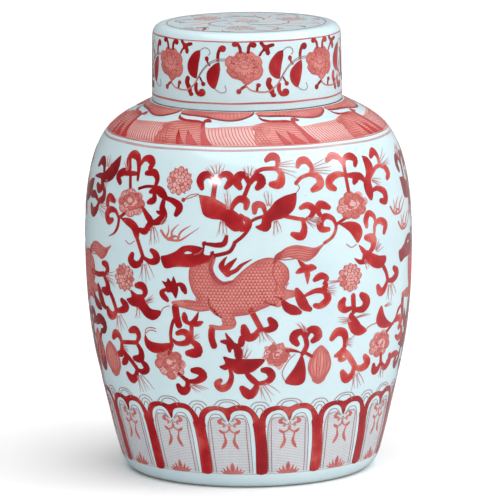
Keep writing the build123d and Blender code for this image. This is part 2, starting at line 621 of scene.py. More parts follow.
def bud(pen, x, z, across, up):
    """A long closed bloom: a pointed oval veined from tip to tip."""
    wide = across / WALL_DEGREE
    right = [(x + u * wide * HAND.uniform(0.95, 1.05), z + v * up) for u, v in BUD_SIDE]
    left = [(x - u * wide * HAND.uniform(0.95, 1.05), z + v * up) for u, v in BUD_SIDE[-2:0:-1]]
    pen.blot(*right, *left, film="coral")
    for k in range(-3, 4):
        u = across * VEIN_STEP * k / WALL_DEGREE
        sway = HAND.uniform(-0.3, 0.3)
        tall = up * (0.95 - 0.07 * abs(k))
        vein = ((u * 0.5, tall), (u + sway, tall * 0.3), (u, -tall * 0.35), (u * 0.4, -tall))
        pen.draw("line", 0.55, BRUSH, [(x + a, z + b) for a, b in vein])
    for k, film in ((-2.4, "pink"), (-0.6, "scroll"), (1.5, "scroll"), (2.7, "scroll")):
        u = across * VEIN_STEP * k / WALL_DEGREE
        pen.draw(film, 1.9, LEAF, ((x + u, z + up * 0.6), (x + u * 1.1, z), (x + u * 0.8, z - up * 0.55)))


def chrysanthemum(pen, x, z, radius):
    """A pale open flower of many round petals, a few of their tips touched in darker."""
    size, petals = (radius, radius), 12
    pen.blot(*flower_outline((x, z), size, petals, 0.13, 0, WALL_DEGREE), film="pink")
    petal_rings(pen, (x, z), size, ((0.97, petals, 0), (0.68, 9, 0.3)), WALL_DEGREE, 0, 0.15)
    petal_rings(pen, (x + 0.2, z + 0.4), size, ((0.4, 6, 0), (0.17, 3, 0.4)), WALL_DEGREE, 0, 0.3)
    for k in range(petals):
        turn = 2 * math.pi * k / petals
        ends = [polar((x, z), size, turn, reach, WALL_DEGREE) for reach in (1.05, 0.8)]
        pen.draw("line" if k % 3 else "scroll", 0.8, FADE, ends)


def flame(pen, x, z):
    """A pale cloud wisp of open fingers."""
    for width, points in (
        (2.0, ((-6.5, 4), (-4.5, -1), (-2, -2.5), (1, -2), (4, 2), (8, 8))),
        (1.5, ((-4.5, -1), (-3.5, 4), (-3.8, 9))),
        (1.7, ((-2, -2), (-2.2, 4), (0.5, 10))),
        (1.7, ((0, -2), (1.2, 4), (5, 9.5))),
        (2.4, ((-3.5, -2), (-1.5, 0.5), (1, 0))),
    ):
        pen.taper(width, *[(x + u, z + v) for u, v in points], film="coral")


def tendril(pen, *points):
    """A fine hair."""
    pen.line(*points, width=0.6)


BEAST_SCALED = [(-13, 178), (-17, 174), (-20, 170), (-20.2, 162), (-18.8, 154), (-17, 148.5), (-25.5, 146),
                (-25.5, 143.5), (-14, 142), (-9, 134), (-9, 127.5), (-5.4, 128), (-5, 137), (3, 141),
                (7, 145), (10, 145), (12, 150), (13, 157), (13, 170), (10, 175.5), (7, 178.6), (3, 176.4),
                (-1, 170.6), (-5, 162), (-8.5, 158.8), (-13, 165), (-14, 173)]
SCALE_ACROSS = 2.5  # mm
SCALE_UP = 2.3
SCALE_COLUMNS = 15  # either side of the beast's middle
BEAST_MIDDLE = -4  # degrees


def beast(pen):
    """A running scaled deer-like beast, its head to the left."""
    pen.blot((-11.5, 180.5), (-17, 176), (-20.5, 172), (-20.8, 163), (-19.6, 154), (-17.5, 147.5),
             (-22, 147.5), (-27.5, 145.5), (-27, 143), (-22, 141), (-17.5, 139.5), (-14, 140.5), (-12, 137),
             (-9.6, 134), (-9.8, 129), (-13.8, 129.5), (-13.5, 126), (-9, 125.5), (-5.5, 127), (-4.4, 131),
             (-4.8, 136.5), (0, 138), (4, 141.5), (7, 144), (10.5, 142.5), (13, 148), (16, 150), (16.5, 154),
             (12.5, 156.5), (13.8, 163), (13.4, 171), (10.5, 177), (7, 179.6), (3, 177.6), (-1, 172),
             (-5, 163.5), (-8.5, 160.6), (-11, 164), (-12.2, 172), film="coral")
    pen.brush(3.4, (-12.2, 181), (-13.2, 173), (-11.8, 165), (-9, 160.8), (-5.5, 162.5), film="line")
    pen.brush(1.6, (-14.2, 149.5), (-13.6, 143.5), (-11.3, 138), (-9.5, 134.5))
    pen.brush(1.5, (8.3, 150.5), (10.5, 149.5), (12.4, 146.5))
    pen.brush(1.4, (5.3, 147.3), (7, 145.2), (9.4, 144))
    pen.line((-20.6, 171), (-20.8, 163), (-19.6, 154), (-17.5, 147.8), width=0.8)
    pen.line((-5.5, 163), (-1, 172), (3, 177.6), (7, 179.6), (10.5, 177), (13.4, 171), (13.8, 163), width=0.8)
    pen.line((-27, 143), (-22, 141), (-17.5, 139.5), (-14, 140.5), width=0.8)
    pen.line((9, 176), (8.2, 168), (9.5, 160), (9, 153), width=1.2)
    pen.line((-4.8, 136.5), (0, 138), (4, 141.5), (7, 144), width=1.0)
    scales(pen, BEAST_SCALED)
    pen.blot((-31.6, 178.5), (-30.8, 172), (-29.4, 170), (-25.5, 171.8), (-20, 172.2), (-16, 175),
             (-13, 177.5), (-11.3, 181), (-15.3, 182.2), (-15.4, 186.5), (-19, 188.6), (-23, 187.6),
             (-26, 183.2), (-29, 180.4))
    pen.blot((-22.6, 182.2), (-21.4, 184), (-19.6, 183), (-21, 182), hole=True)
    pen.stem(1.3, (-18.8, 181.8), (-17.2, 183), (-16, 185.5), film="line")
    pen.hook(3.4, (-15.5, 187), (-15, 190), (-11, 189.4), (-8.4, 190.6), (-7.5, 196))
    pen.brush(3.2, (-15.8, 189.5), (-15, 191.3))
    pen.stem(2.8, (-13, 181), (-10, 182.3), (-6.6, 184.6), (-5.2, 188.6), (-4.7, 191.5))
    pen.brush(2.8, (-12.8, 182), (-12.2, 184.3))
    pen.taper(5.5, (-7.2, 168.4), (-9.2, 173), (-8.8, 177), (-7.4, 181))
    pen.taper(5, (-8, 170), (-6.8, 174), (-4, 180))
    pen.taper(3.6, (-7.4, 168), (-4.5, 170.5), (-2.2, 175), (1.2, 179))
    pen.stem(5.6, (-26.4, 141), (-26, 134), (-25.3, 128))
    pen.stem(5, (-13.2, 125), (-13.3, 119), (-12.6, 113.4))
    pen.brush(7, (11.8, 146.5), (13.6, 141.5), (17.6, 137.8))
    pen.brush(7.2, (16.6, 155), (17.8, 149), (19.4, 142.5), (21.4, 139.5))
    tail(pen)


def within(point, outline):
    """Whether a point lies inside a closed outline."""
    inside = False
    for (x0, y0), (x1, y1) in zip(outline, outline[1:] + outline[:1]):
        if (y0 > point[1]) != (y1 > point[1]) and point[0] < x0 + (point[1] - y0) * (x1 - x0) / (y1 - y0):
            inside = not inside
    return inside


def scales(pen, outline):
    """Overlapping round scales, in rows, wherever they fit inside the outline."""
    low = min(z for _, z in outline)
    high = max(z for _, z in outline)
    half = SCALE_ACROSS / 2 / WALL_DEGREE
    for row in range(int((high - low) / SCALE_UP)):
        z = low + row * SCALE_UP
        for column in range(-SCALE_COLUMNS, SCALE_COLUMNS + 1):
            x = (column + 0.5 * (row % 2)) * SCALE_ACROSS / WALL_DEGREE + BEAST_MIDDLE
            if within((x, z), outline):
                foot = z - HAND.uniform(0.35, 0.7)
                near = half * 0.6
                scale = ((x - half, z + 0.9), (x - near, foot), (x + near, foot), (x + half, z + 0.9))
                pen.draw("scale", HAND.uniform(0.55, 0.85), EVEN, scale)


def tail(pen):
    """The beast's flame tail: a coral plume with long hairs, its tip running into a stem."""
    pen.blot((8.6, 177.5), (10.5, 183), (13, 187), (16.5, 188.4), (20, 187), (23.5, 185.6), (27.2, 188.4),
             (25.4, 184), (23.6, 179.5), (20.4, 175.6), (17.5, 177), (14, 179.4), (11, 178.8), film="coral")
    for k in range(5):
        drop = 1.9 * k
        pen.line((9.6, 178.6), (13, 185.4 - drop), (17.5, 186.2 - drop), (21.5, 183.6 - drop * 0.8),
                 (25.4 - k * 0.4, 184.8 - drop * 0.4), width=0.8)
    pen.taper(2.6, (9, 176.5), (9.6, 181), (12.4, 185.5), film="line")


def bloom_leaves(pen):
    """Two great dark leaves either side of a stem, with forks above them: the top of the front."""
    pen.blot((-17.6, 226), (-17.6, 226), (-13, 224.6), (-8.5, 220), (-6, 216.5), (-3.6, 213), (-2, 208),
             (-1.2, 203), (-2.6, 200.4), (-5, 199.8), (-7.4, 203.6), (-9.4, 207.8), (-13, 208.8),
             (-15.6, 211.4), (-16.6, 217))
    pen.hook(4.6, (-6, 213), (-5.2, 219), (-3, 223.4), (-0.6, 221.6), (-0.8, 216.8))
    pen.hook(4.4, (-4, 211), (-0.4, 208), (-0.2, 203), (-2.4, 201))
    pen.stem(2.6, (-2.6, 211.6), (0.2, 207), (0.1, 202), (-1.8, 196.5), (-4.7, 191.5))
    pen.blot((17.4, 227), (17.4, 227), (13, 225), (9.6, 221.4), (7.4, 216), (5, 211.6), (4.4, 205.4),
             (2.4, 203.2), (3.6, 200.8), (6.2, 199.2), (7.8, 202.4), (8.4, 206.8), (12.2, 208.8),
             (15.6, 213.6), (17, 219.4))
    pen.hook(4.4, (6, 212), (5, 218.5), (2.6, 218.8), (2.2, 213.6))
    pen.stem(2.4, (0.2, 206), (2.6, 209), (5.4, 210.6))
    pen.grass((-7, 216), (-8.6, 227.5), (-7.6, 228), (-6.4, 227))
    pen.grass((-9, 207), (-10.8, 197), (-9, 198), (-7.4, 196.5))
    pen.grass((7.2, 218), (5.4, 226.5), (6.6, 228), (8.2, 226))
    pen.grass((9.4, 207), (8.4, 197), (9.8, 198.5), (11.2, 199))
    pen.stem(3.8, (-12.4, 223), (-11.9, 233))
    pen.hook(5.2, (-11.8, 232), (-13.4, 239.6), (-16, 240), (-17.4, 236), (-16.6, 231))
    pen.hook(4.8, (-11.6, 234), (-9.8, 240), (-7.4, 241), (-6, 237), (-7.8, 231.8))
    pen.grass((-11.5, 241), (-15.5, 244.5), (-13.8, 246.5), (-12.2, 247), (-10.8, 248), (-9, 247))
    pen.stem(3.2, (-1.6, 224), (-0.4, 230), (0.8, 236))
    pen.hook(5.8, (0.4, 234), (-0.9, 240), (-3, 240), (-4, 236), (-2.9, 231.8))
    pen.hook(5.8, (0.6, 234), (2.2, 238.4), (4.2, 238.6), (4.9, 235), (3.4, 231.4))
    pen.grass((0.4, 240), (-1.6, 245), (-0.2, 246.5), (1.2, 246.5), (2.8, 245))


def top_right_sprig(pen):
    """Forks to the right of the great leaves, up to the shoulder."""
    pen.stem(3, (2.8, 242.2), (5.6, 244.6), (10.2, 244.8))
    pen.hook(4.8, (10.2, 244), (11.3, 248.6), (11, 252.4), (8.8, 253), (7, 250.8))
    pen.hook(5.8, (10.4, 245), (12.2, 240.6), (11.4, 233.8), (8.4, 233.6))
    pen.grass((11.6, 246), (17.6, 250), (18, 245), (17.2, 238.5))
    pen.stem(2.8, (17.4, 233.6), (19.6, 237.4), (23, 239.4))
    pen.hook(4.6, (22.8, 238.6), (24.2, 243.6), (22.6, 249), (20, 249), (18.7, 245.6))
    pen.hook(5.4, (22.6, 239.4), (26, 237.4), (26.8, 231.8), (23.6, 228))
    pen.grass((24.8, 243), (31, 250), (32, 243.5), (31, 238.5))
    tendril(pen, (17.2, 234), (18.6, 230.5), (17.4, 227))
    pen.stem(3, (13, 210), (16.6, 208.2), (19.4, 206.8))
    pen.hook(5.2, (19, 207.6), (19.6, 200.6), (18.4, 194.6), (15.4, 196.6))
    pen.hook(4.4, (19.2, 206), (22.2, 209), (23.2, 214), (21, 217.2), (18.6, 215.6))
    pen.grass((20.6, 207), (24.4, 205.5), (24.8, 202.5), (23, 200))


def left_scrolls(pen):
    """Forks, a peony and a half leaf to the upper left of the beast."""
    chrysanthemum(pen, -25.3, 235.2, 10)
    pen.hook(5, (-43.6, 233), (-44.2, 242), (-46, 248.8), (-49.4, 250.4), (-50.6, 246.8), (-48.8, 240))
    pen.hook(5, (-44, 243), (-42.4, 248.4), (-39.8, 248.8), (-38, 246), (-38.8, 242.6))
    pen.hook(5.2, (-44, 237.4), (-48, 237), (-51.8, 237.2), (-54.6, 233.6), (-52.8, 229))
    pen.stem(2.8, (-47.8, 236), (-46.8, 227))
    pen.grass((-50, 238.5), (-52.6, 243.5), (-50.6, 245))
    peony(pen, -46, 216, 14.4, 10.4)
    pen.stem(2.2, (-42.4, 227), (-39, 229.2), (-35.6, 229.6))
    pen.hook(4.6, (-35.4, 228), (-34.6, 235), (-36.4, 239.6), (-40, 238.6))
    pen.brush(6.4, (-37, 225.6), (-33.6, 227.4), (-30, 222))
    pen.hook(4.4, (-35.6, 227), (-35, 220.6), (-37.4, 217.8))
    pen.hook(4.8, (-31.2, 222.4), (-27.4, 220.6), (-24.6, 216.4), (-25.8, 210.6))
    pen.brush(5.6, (-30.8, 222), (-31.4, 215), (-30.6, 209), (-33, 204.4), (-36.2, 202.6))
    pen.brush(2.6, (-33.8, 212), (-31.4, 210))
    pen.brush(5.2, (-40, 213.8), (-37.6, 208), (-36, 203.4), (-37.8, 197.6), (-40.4, 195.8))
    pen.grass((-35, 200), (-36.4, 187.5), (-34.4, 189), (-32.6, 190))
    pen.grass((-31.6, 203), (-30, 209), (-29.4, 206))
    pen.hook(5.2, (-51.6, 203.2), (-53.6, 207.8), (-57, 208), (-59, 204), (-57.6, 199.2), (-55.4, 200.6))
    pen.hook(5.2, (-57, 206), (-59.2, 211.6), (-58.2, 217), (-54.9, 215))
    pen.taper(3, (-51.4, 203.6), (-52, 196.5), (-54, 191.2), (-57.4, 187.8))
    pen.stem(2.6, (-51.6, 203), (-48.4, 207.4))
    pen.blot((-50.8, 203.4), (-50.8, 203.4), (-46, 204.4), (-42.6, 201.6), (-41, 197), (-41.2, 190.4),
             (-42.8, 190), (-44.6, 196), (-47.8, 199.6))
    pen.brush(5, (-41.4, 197.4), (-38.6, 196), (-37, 200))
    pen.stem(3.2, (-42, 190.6), (-40.6, 184), (-39.2, 177))
    pen.hook(5.4, (-39.2, 178), (-40.6, 172), (-43, 170.2), (-45, 173), (-44.2, 177.6))
    pen.hook(5, (-39.4, 177), (-36, 173.8), (-33.4, 175.8), (-33.8, 180), (-35.4, 182.4))
    pen.grass((-38.6, 172), (-41, 160.5), (-38.2, 159.5), (-35, 163))
    tendril(pen, (-47.6, 187.4), (-45.6, 185), (-43, 188))
    flame(pen, -25, 194)
    chrysanthemum(pen, -48.6, 158.8, 10.2)
    pen.stem(3, (-23.3, 221.6), (-23.2, 221.9), film="line")
    tendril(pen, (-23.2, 221.8), (-20.6, 225.6), (-17.6, 226.4), (-20, 224), (-23.2, 221.8))


def left_leaves(pen):
    """Dark leaves and forks to the lower left of the beast."""
    pen.blot((-47.8, 142.8), (-45.2, 145.4), (-45.6, 150.4), (-42.6, 148), (-40, 148), (-38.4, 143),
             (-36.4, 138.4), (-32.4, 137.4), (-32.8, 133.4), (-35.6, 129.6), (-39, 131.6), (-42, 137.4),
             (-45.6, 138.6))
    pen.hook(5.2, (-40.4, 145), (-38.6, 150), (-39.8, 154.8), (-42.6, 154.4))
    pen.grass((-38.4, 143), (-35.4, 146.6), (-35.2, 144), (-35.4, 149))
    pen.grass((-42.4, 138), (-43.8, 130.6), (-42, 131))
    tendril(pen, (-32.2, 136.4), (-31, 140), (-28.6, 142))
    pen.blot((-31.4, 160.4), (-29.6, 159.8), (-29, 163), (-27.6, 160.4), (-26.8, 164.6), (-25.6, 159.4),
             (-25, 155), (-26, 148), (-27.6, 152.2), (-29.4, 152), (-30, 156))
    pen.hook(4, (-26, 158), (-23.8, 158.4), (-22.4, 153))
    pen.hook(4, (-29, 155), (-31.6, 151.4), (-29.4, 146))
    pen.stem(4, (-72, 157), (-66, 156.4), (-61.6, 158))
    pen.hook(5, (-61.4, 157.4), (-58.8, 160.6), (-59.2, 165.4), (-61.8, 166))
    pen.hook(6.2, (-61.8, 157.4), (-59, 151.4), (-59.4, 145.6), (-62.6, 145.4))
    pen.grass((-59, 157), (-53.6, 162), (-54.4, 155), (-54.6, 151))
    pen.stem(4.2, (-58.8, 148), (-56, 141), (-54.2, 133))
    pen.hook(5.6, (-54.8, 132), (-50.8, 133.6), (-48.2, 137), (-50.4, 141))
    pen.hook(6.2, (-53.8, 132.6), (-56, 128), (-58.6, 128), (-60, 131.8))
    pen.grass((-53, 129), (-55, 118.6), (-52.2, 118), (-49, 121.6))
    pen.hook(5, (-44.4, 110), (-42.9, 116), (-44.2, 120.4), (-47.2, 118.6))
    pen.stem(3.4, (-52, 108.6), (-48, 109.6), (-44.2, 110.4))
    pen.hook(5.4, (-44.6, 111), (-42.6, 104), (-43.4, 98.4), (-46.6, 97.6))
    pen.hook(5.4, (-52.8, 107), (-53.6, 112.6), (-55.8, 114.4), (-58, 110.4))
    pen.brush(5.4, (-52.8, 109), (-53, 103), (-54, 99.4), (-57, 98))
    pen.hook(5, (-52.4, 102), (-51.4, 96), (-53.8, 91.8))
    pen.grass((-52, 104.5), (-49.6, 106), (-49.4, 101.6))
    pen.stem(4, (-52.4, 101.6), (-49, 96), (-46.2, 90))
    pen.hook(5, (-46.6, 89.4), (-43, 88), (-40.8, 91.6), (-42.8, 96))
    pen.hook(6, (-46, 90), (-47.2, 83.6), (-49.8, 80.6), (-52, 83.8))
    pen.grass((-45.4, 85), (-46.2, 72.6), (-43.2, 73.6), (-39.8, 76.8))
    pen.blot((-39.8, 118.4), (-39.8, 118.4), (-38, 113.6), (-33.6, 112.4), (-28.6, 113.6), (-28.6, 111.4),
             (-32, 106), (-36.6, 104.4), (-39.6, 107.6), (-40.4, 113.2))
    tendril(pen, (-39.8, 118.6), (-39.2, 122), (-37.2, 123.8), (-34.8, 123.4))
    tendril(pen, (-39.4, 118.6), (-38.2, 121), (-36.4, 121.8), (-34.6, 121))
    pen.stem(2.8, (-28.4, 112.4), (-30, 104.8))
    pen.stem(2.6, (-28.6, 112), (-28.7, 121), (-27.7, 129), (-26.4, 133.6))
    peony(pen, -30, 97, 13.2, 11.8, 4.0)
    pen.hook(4.8, (-28.6, 117), (-26.2, 113.6), (-22.6, 115), (-21.6, 119.8), (-23.6, 122.8), (-26, 121.4))
    pen.hook(6.4, (-21.8, 117.4), (-18.8, 113), (-18.8, 107.6), (-22.4, 106.6))
    pen.stem(3.2, (-20.8, 116), (-20.6, 123), (-20.4, 130.4))
    pen.hook(4, (-20.4, 128.6), (-22.6, 131.4), (-23, 136.6))
    pen.taper(4.2, (-20.4, 129), (-18.8, 133.6), (-17.7, 139))
    pen.brush(4, (-21, 129.6), (-18.6, 129.4), (-16.6, 131))
    pen.grass((-20, 118.5), (-18.4, 122.6), (-17.6, 120))
    pen.stem(3, (-26.6, 90), (-23.8, 85))
    pen.hook(5.6, (-23.8, 84.6), (-20, 85.2), (-17.2, 89.2), (-18.4, 93), (-21, 93.4))
    pen.hook(5.6, (-23.6, 86), (-23.8, 79), (-26.2, 76.4), (-27.5, 80.4))
    pen.grass((-22, 82), (-20.4, 76.4), (-18.2, 78.4), (-15.8, 79.8))


def low_middle(pen):
    """Under the beast: a fork, a dark leaf cluster, a flower, a half leaf and a peony."""
    pen.stem(4.2, (0.6, 140.6), (2.2, 134), (4, 126.6))
    pen.hook(5.6, (3.4, 126), (6.6, 125.6), (8.6, 128.6), (7.2, 133.4))
    pen.hook(6, (3.8, 127), (1.6, 120.8), (-0.8, 120.6), (-1.9, 128))
    pen.grass((4.4, 124), (3.4, 115), (5, 116.4), (6.8, 118), (9, 114.6), width=0.6)
    pen.taper(4.6, (-5.4, 113), (-7, 118), (-8.4, 123.6))
    pen.brush(4.2, (-9.9, 116.8), (-7.4, 115.6), (-7, 109.4))
    pen.hook(4.4, (-5.2, 112), (-3, 115), (-2.8, 120))
    pen.brush(6, (-5, 114.6), (-3.9, 108.4), (-3.8, 102))
    pen.blot((-9.4, 105.2), (-6, 103.6), (-2, 103.4), (4.4, 103.4), (5.4, 101.6), (3.4, 97), (0.4, 92.8),
             (-4.6, 91.8), (-7, 95.8), (-9, 94.6), (-11, 97.4), (-8.8, 99.8))
    pen.hook(4.8, (-7.4, 97), (-6.6, 89.6), (-8, 82.6), (-10.6, 80.2), (-12.2, 83.8), (-10.8, 86.4))
    pen.brush(4.6, (-1.6, 93), (0.8, 87.6), (3.2, 83.4))
    pen.hook(5.4, (2.6, 84), (6.4, 85.4), (8, 89.6), (6.8, 93.8), (4.8, 94.6))
    pen.hook(6.4, (2.8, 85), (1.8, 78.6), (-0.4, 75.4), (-2.8, 80.4))
    pen.grass((4.6, 83), (4.4, 72), (7.6, 71.6), (10.4, 77.2))
    pen.grass((-2, 104), (-2.6, 111), (-1, 113), (0.4, 110))
    pen.blot((5.4, 110), (5.4, 113), (7.4, 113), (8.4, 116.4), (10, 113.6), (11.8, 115.6), (12.6, 112),
             (15.2, 110.6), (13.8, 107.6), (15, 104.6), (13, 102.6), (12.4, 98.6), (10.8, 94.4), (9.2, 97),
             (6.6, 98.6), (6.2, 101.8), (4.4, 104.2), (5.8, 107), film="pink")
    rings = ((0.96, 7, 0.3), (0.6, 5, 0.9), (0.25, 3, 0.1))
    petal_rings(pen, (9.8, 106.2), (9.6, 9.4), rings, WALL_DEGREE, 2, 0.4)
    pen.taper(2.8, (13.4, 109), (16, 108.6), (19, 106.4))
    pen.stem(3.8, (19.2, 106), (20.6, 112), (20, 118.4))
    pen.hook(5.6, (20, 117), (18.8, 122.4), (16.4, 121.6), (15.6, 117.6), (17, 113.6))
    pen.hook(5.8, (20, 117), (21.4, 123.4), (23.8, 123.2), (24.9, 118.6), (23, 115.2))
    pen.grass((20, 122.6), (16.6, 129), (18, 130), (19.4, 127))
    pen.blot((18.8, 106), (18.8, 106), (16.4, 96), (13, 85.4), (14.6, 82.4), (18, 81.4), (20.4, 83.8),
             (20.8, 91), (20, 100))
    tendril(pen, (13, 85.4), (11.8, 92), (14, 101), (16.4, 106))
    bud(pen, 26.2, 96, 9.6, 14.4)
    pen.stem(2.6, (19.8, 107), (22.6, 103.4))


def right_scrolls(pen):
    """Peony, half leaf, forks and flowers to the upper right of the beast."""
    pen.taper(4.4, (20, 170), (18.8, 173), (17, 177.4))
    pen.brush(5.4, (20, 169.4), (21.8, 170.8), (23.2, 170.4))
    pen.brush(4.4, (16.6, 167.8), (18.6, 169.6), (20.4, 169.4))
    pen.taper(5, (20.2, 171), (20.5, 165), (20.5, 158.6))
    pen.stem(2.4, (27, 188.4), (30, 192), (31.5, 197), (31.8, 201.6))
    pen.hook(4.8, (31.8, 201), (30.4, 206), (27.6, 208), (25.6, 204.4), (26, 199), (28.6, 198.2))
    pen.hook(5.2, (26.6, 207), (25, 212), (25.8, 217), (29.2, 214.4))
    pen.grass((26, 206), (22.6, 208), (22, 205.4), (23.4, 202.4))
    pen.stem(2.4, (31.6, 201), (35.8, 205))
    pen.blot((32.6, 201.6), (32.6, 201.6), (38, 202.2), (42, 199), (43.2, 192), (41, 185.4), (39.4, 189),
             (37.4, 194.4), (34.8, 198.6))
    tendril(pen, (35.8, 185.8), (38, 182.8), (40.4, 184.6))
    peony(pen, 39.4, 213.6, 14.6, 10.4, 1.0)
    pen.hook(4.4, (37.8, 237), (38, 244), (36.4, 249.4), (33.4, 250.8), (31, 247.8))
    pen.hook(4.8, (38.2, 242), (39, 247.6), (42, 249), (44.2, 246.4), (43.4, 242.4))
    pen.stem(3, (38.2, 244), (38, 235), (38.2, 224.6))
    pen.hook(5.4, (38.6, 236), (34.6, 237.4), (31, 234.6), (30.4, 230), (32.4, 227.4))
    pen.brush(5, (38, 236), (41.4, 235.2), (45, 233.6), (47, 229))
    pen.hook(5, (46, 232), (43.2, 233.6), (41.4, 230.2))
    pen.blot((48.2, 248), (48.2, 248), (51, 246.4), (52.8, 240.6), (52, 234), (50, 229), (50.4, 222),
             (49.4, 215.6), (48, 216), (46.2, 222), (46, 229), (48.2, 236))
    pen.stem(3.2, (50.6, 233), (54, 237.6), (57.4, 239))
    pen.hook(5.2, (57, 238.4), (60.2, 237), (62, 231.8), (60.4, 228.6))
    pen.hook(4.8, (57, 238.6), (57.6, 245), (56, 249.6), (53.2, 246.4))
    pen.grass((58.6, 240), (63, 249), (64.6, 242), (65, 238.6))
    pen.hook(5.2, (49.4, 221.6), (53, 223), (57, 219), (57, 212.6), (54.2, 213.4))
    pen.grass((50.8, 230), (54.6, 227), (54, 224.6), (56, 229))
    pen.hook(4.8, (49.2, 190), (49.8, 197), (52.6, 199), (55.8, 195.4), (54.8, 189.4))
    pen.hook(4.4, (50.2, 196), (49.4, 203), (46.8, 206), (45.2, 202), (45.4, 196.6))
    pen.blot((45.8, 178.6), (48, 176), (51.6, 173), (55.6, 171.6), (55.6, 166.8), (52.6, 163.2),
             (48.8, 164.6), (45.4, 169), (42.8, 170.6), (43, 174.4), (43.6, 178))
    pen.taper(4.6, (45, 175.6), (43.2, 179.4), (41.4, 183.6))
    pen.taper(4.6, (45, 171), (41.8, 170.8), (39.2, 174.4))
    pen.hook(6.2, (46, 176), (48.4, 180.6), (48.4, 186.4), (45, 188.4))
    pen.grass((50, 177), (52.6, 181), (51.4, 184), (53.6, 178.6))
    pen.stem(3.6, (53.8, 165), (56, 159), (57.2, 152.6))
    pen.hook(5.4, (56.6, 152.4), (60.8, 151.8), (64, 156), (61.4, 160.4))
    pen.hook(5.6, (57.2, 153), (55, 146.4), (52.6, 145), (51.2, 149.6))
    pen.grass((59, 149), (56.8, 138.4), (60, 137.6), (63.4, 140.8))
    chrysanthemum(pen, 37.4, 160.4, 10.2)
    pen.grass((33, 158.6), (28.6, 159.4), (29, 157.6))
    pen.hook(4.6, (26.6, 158), (27.8, 161.6), (25.6, 164), (23.2, 161.4))
    pen.brush(3.6, (27.2, 160), (27.4, 156), (25.6, 153.4))
    pen.hook(5, (19.6, 150), (23.4, 153), (27, 152), (28.2, 146), (25.4, 141.4), (23.4, 142))
    pen.grass((28, 153), (31.2, 156), (31.4, 151.4), (30.6, 149))
    pen.grass((44, 172), (44.8, 164.6), (46, 166))
    flame(pen, 66.5, 203)


def right_leaves(pen):
    """Forks and half leaves to the lower right."""
    pen.hook(5.8, (35.6, 104), (36.4, 112), (35.4, 118.4), (32.6, 120), (30.4, 115.4))
    pen.brush(4.8, (35.8, 107), (34.4, 103), (32.4, 101.6))
    pen.stem(5, (35.4, 105), (38.2, 100.4), (41.8, 91.6))
    pen.hook(3.4, (36, 104), (34.4, 98.6), (36.8, 98))
    pen.hook(6, (41, 91.4), (45, 88.6), (48.6, 91.6), (46.6, 97.4))
    pen.hook(6, (41.4, 92.6), (41.2, 85.2), (38.4, 82.2), (36.2, 88))
    pen.grass((43, 85), (42, 72.8), (45, 74), (48, 76.6))
    pen.grass((36.8, 111), (40.4, 115), (39.6, 110.6), (39.4, 107))
    pen.stem(4.2, (38.9, 146), (39.1, 141), (39.4, 134))
    pen.hook(5.8, (38.4, 137), (35.4, 136.2), (33.8, 140), (34.8, 144))
    pen.hook(6.4, (39, 135.6), (43.6, 134.8), (45.4, 140.4), (42.8, 145.6))
    pen.leaf(10.5, (38, 133.6), (38.8, 127), (41.6, 119.6), (46.4, 117.4))
    pen.grass((37.8, 128), (33, 131), (33.4, 127.6), (35, 125.6))
    pen.grass((40.6, 129), (44.6, 131), (46.6, 129.6))
    tendril(pen, (46, 119), (48.6, 121), (51.6, 121.6))
    pen.blot((54, 134.2), (52, 130), (51.2, 123), (53.6, 117.6), (58.6, 115.8), (63, 117.6), (63, 117.6),
             (58.8, 121.2), (56, 126.6))
    pen.stem(2.8, (62.6, 117.4), (65, 120.8), (67, 127), (71, 130.4))
    pen.grass((56, 133), (60.6, 133), (59, 135.4))
    pen.hook(6.2, (64.6, 119), (68, 120), (70.6, 116.6), (69, 112.6))
    pen.stem(2.6, (62, 117), (58.6, 112.6))
    peony(pen, 55, 104.4, 14, 10.4, 2.1)
    pen.stem(3.4, (56.4, 96), (57.2, 89.6))
    pen.hook(5.4, (57.4, 90), (55.6, 84.6), (53.4, 84.2), (52.6, 88.6))
    pen.hook(5.4, (57, 90), (60.6, 84.4), (64, 88), (63.4, 93))
    pen.brush(5, (62, 88.6), (67, 92), (73, 90.6))
    pen.grass((58.6, 86), (57.6, 77.4), (60.6, 76.8))
    pen.hook(5.6, (66.6, 106.4), (69.8, 104), (73, 106.6), (72, 111))


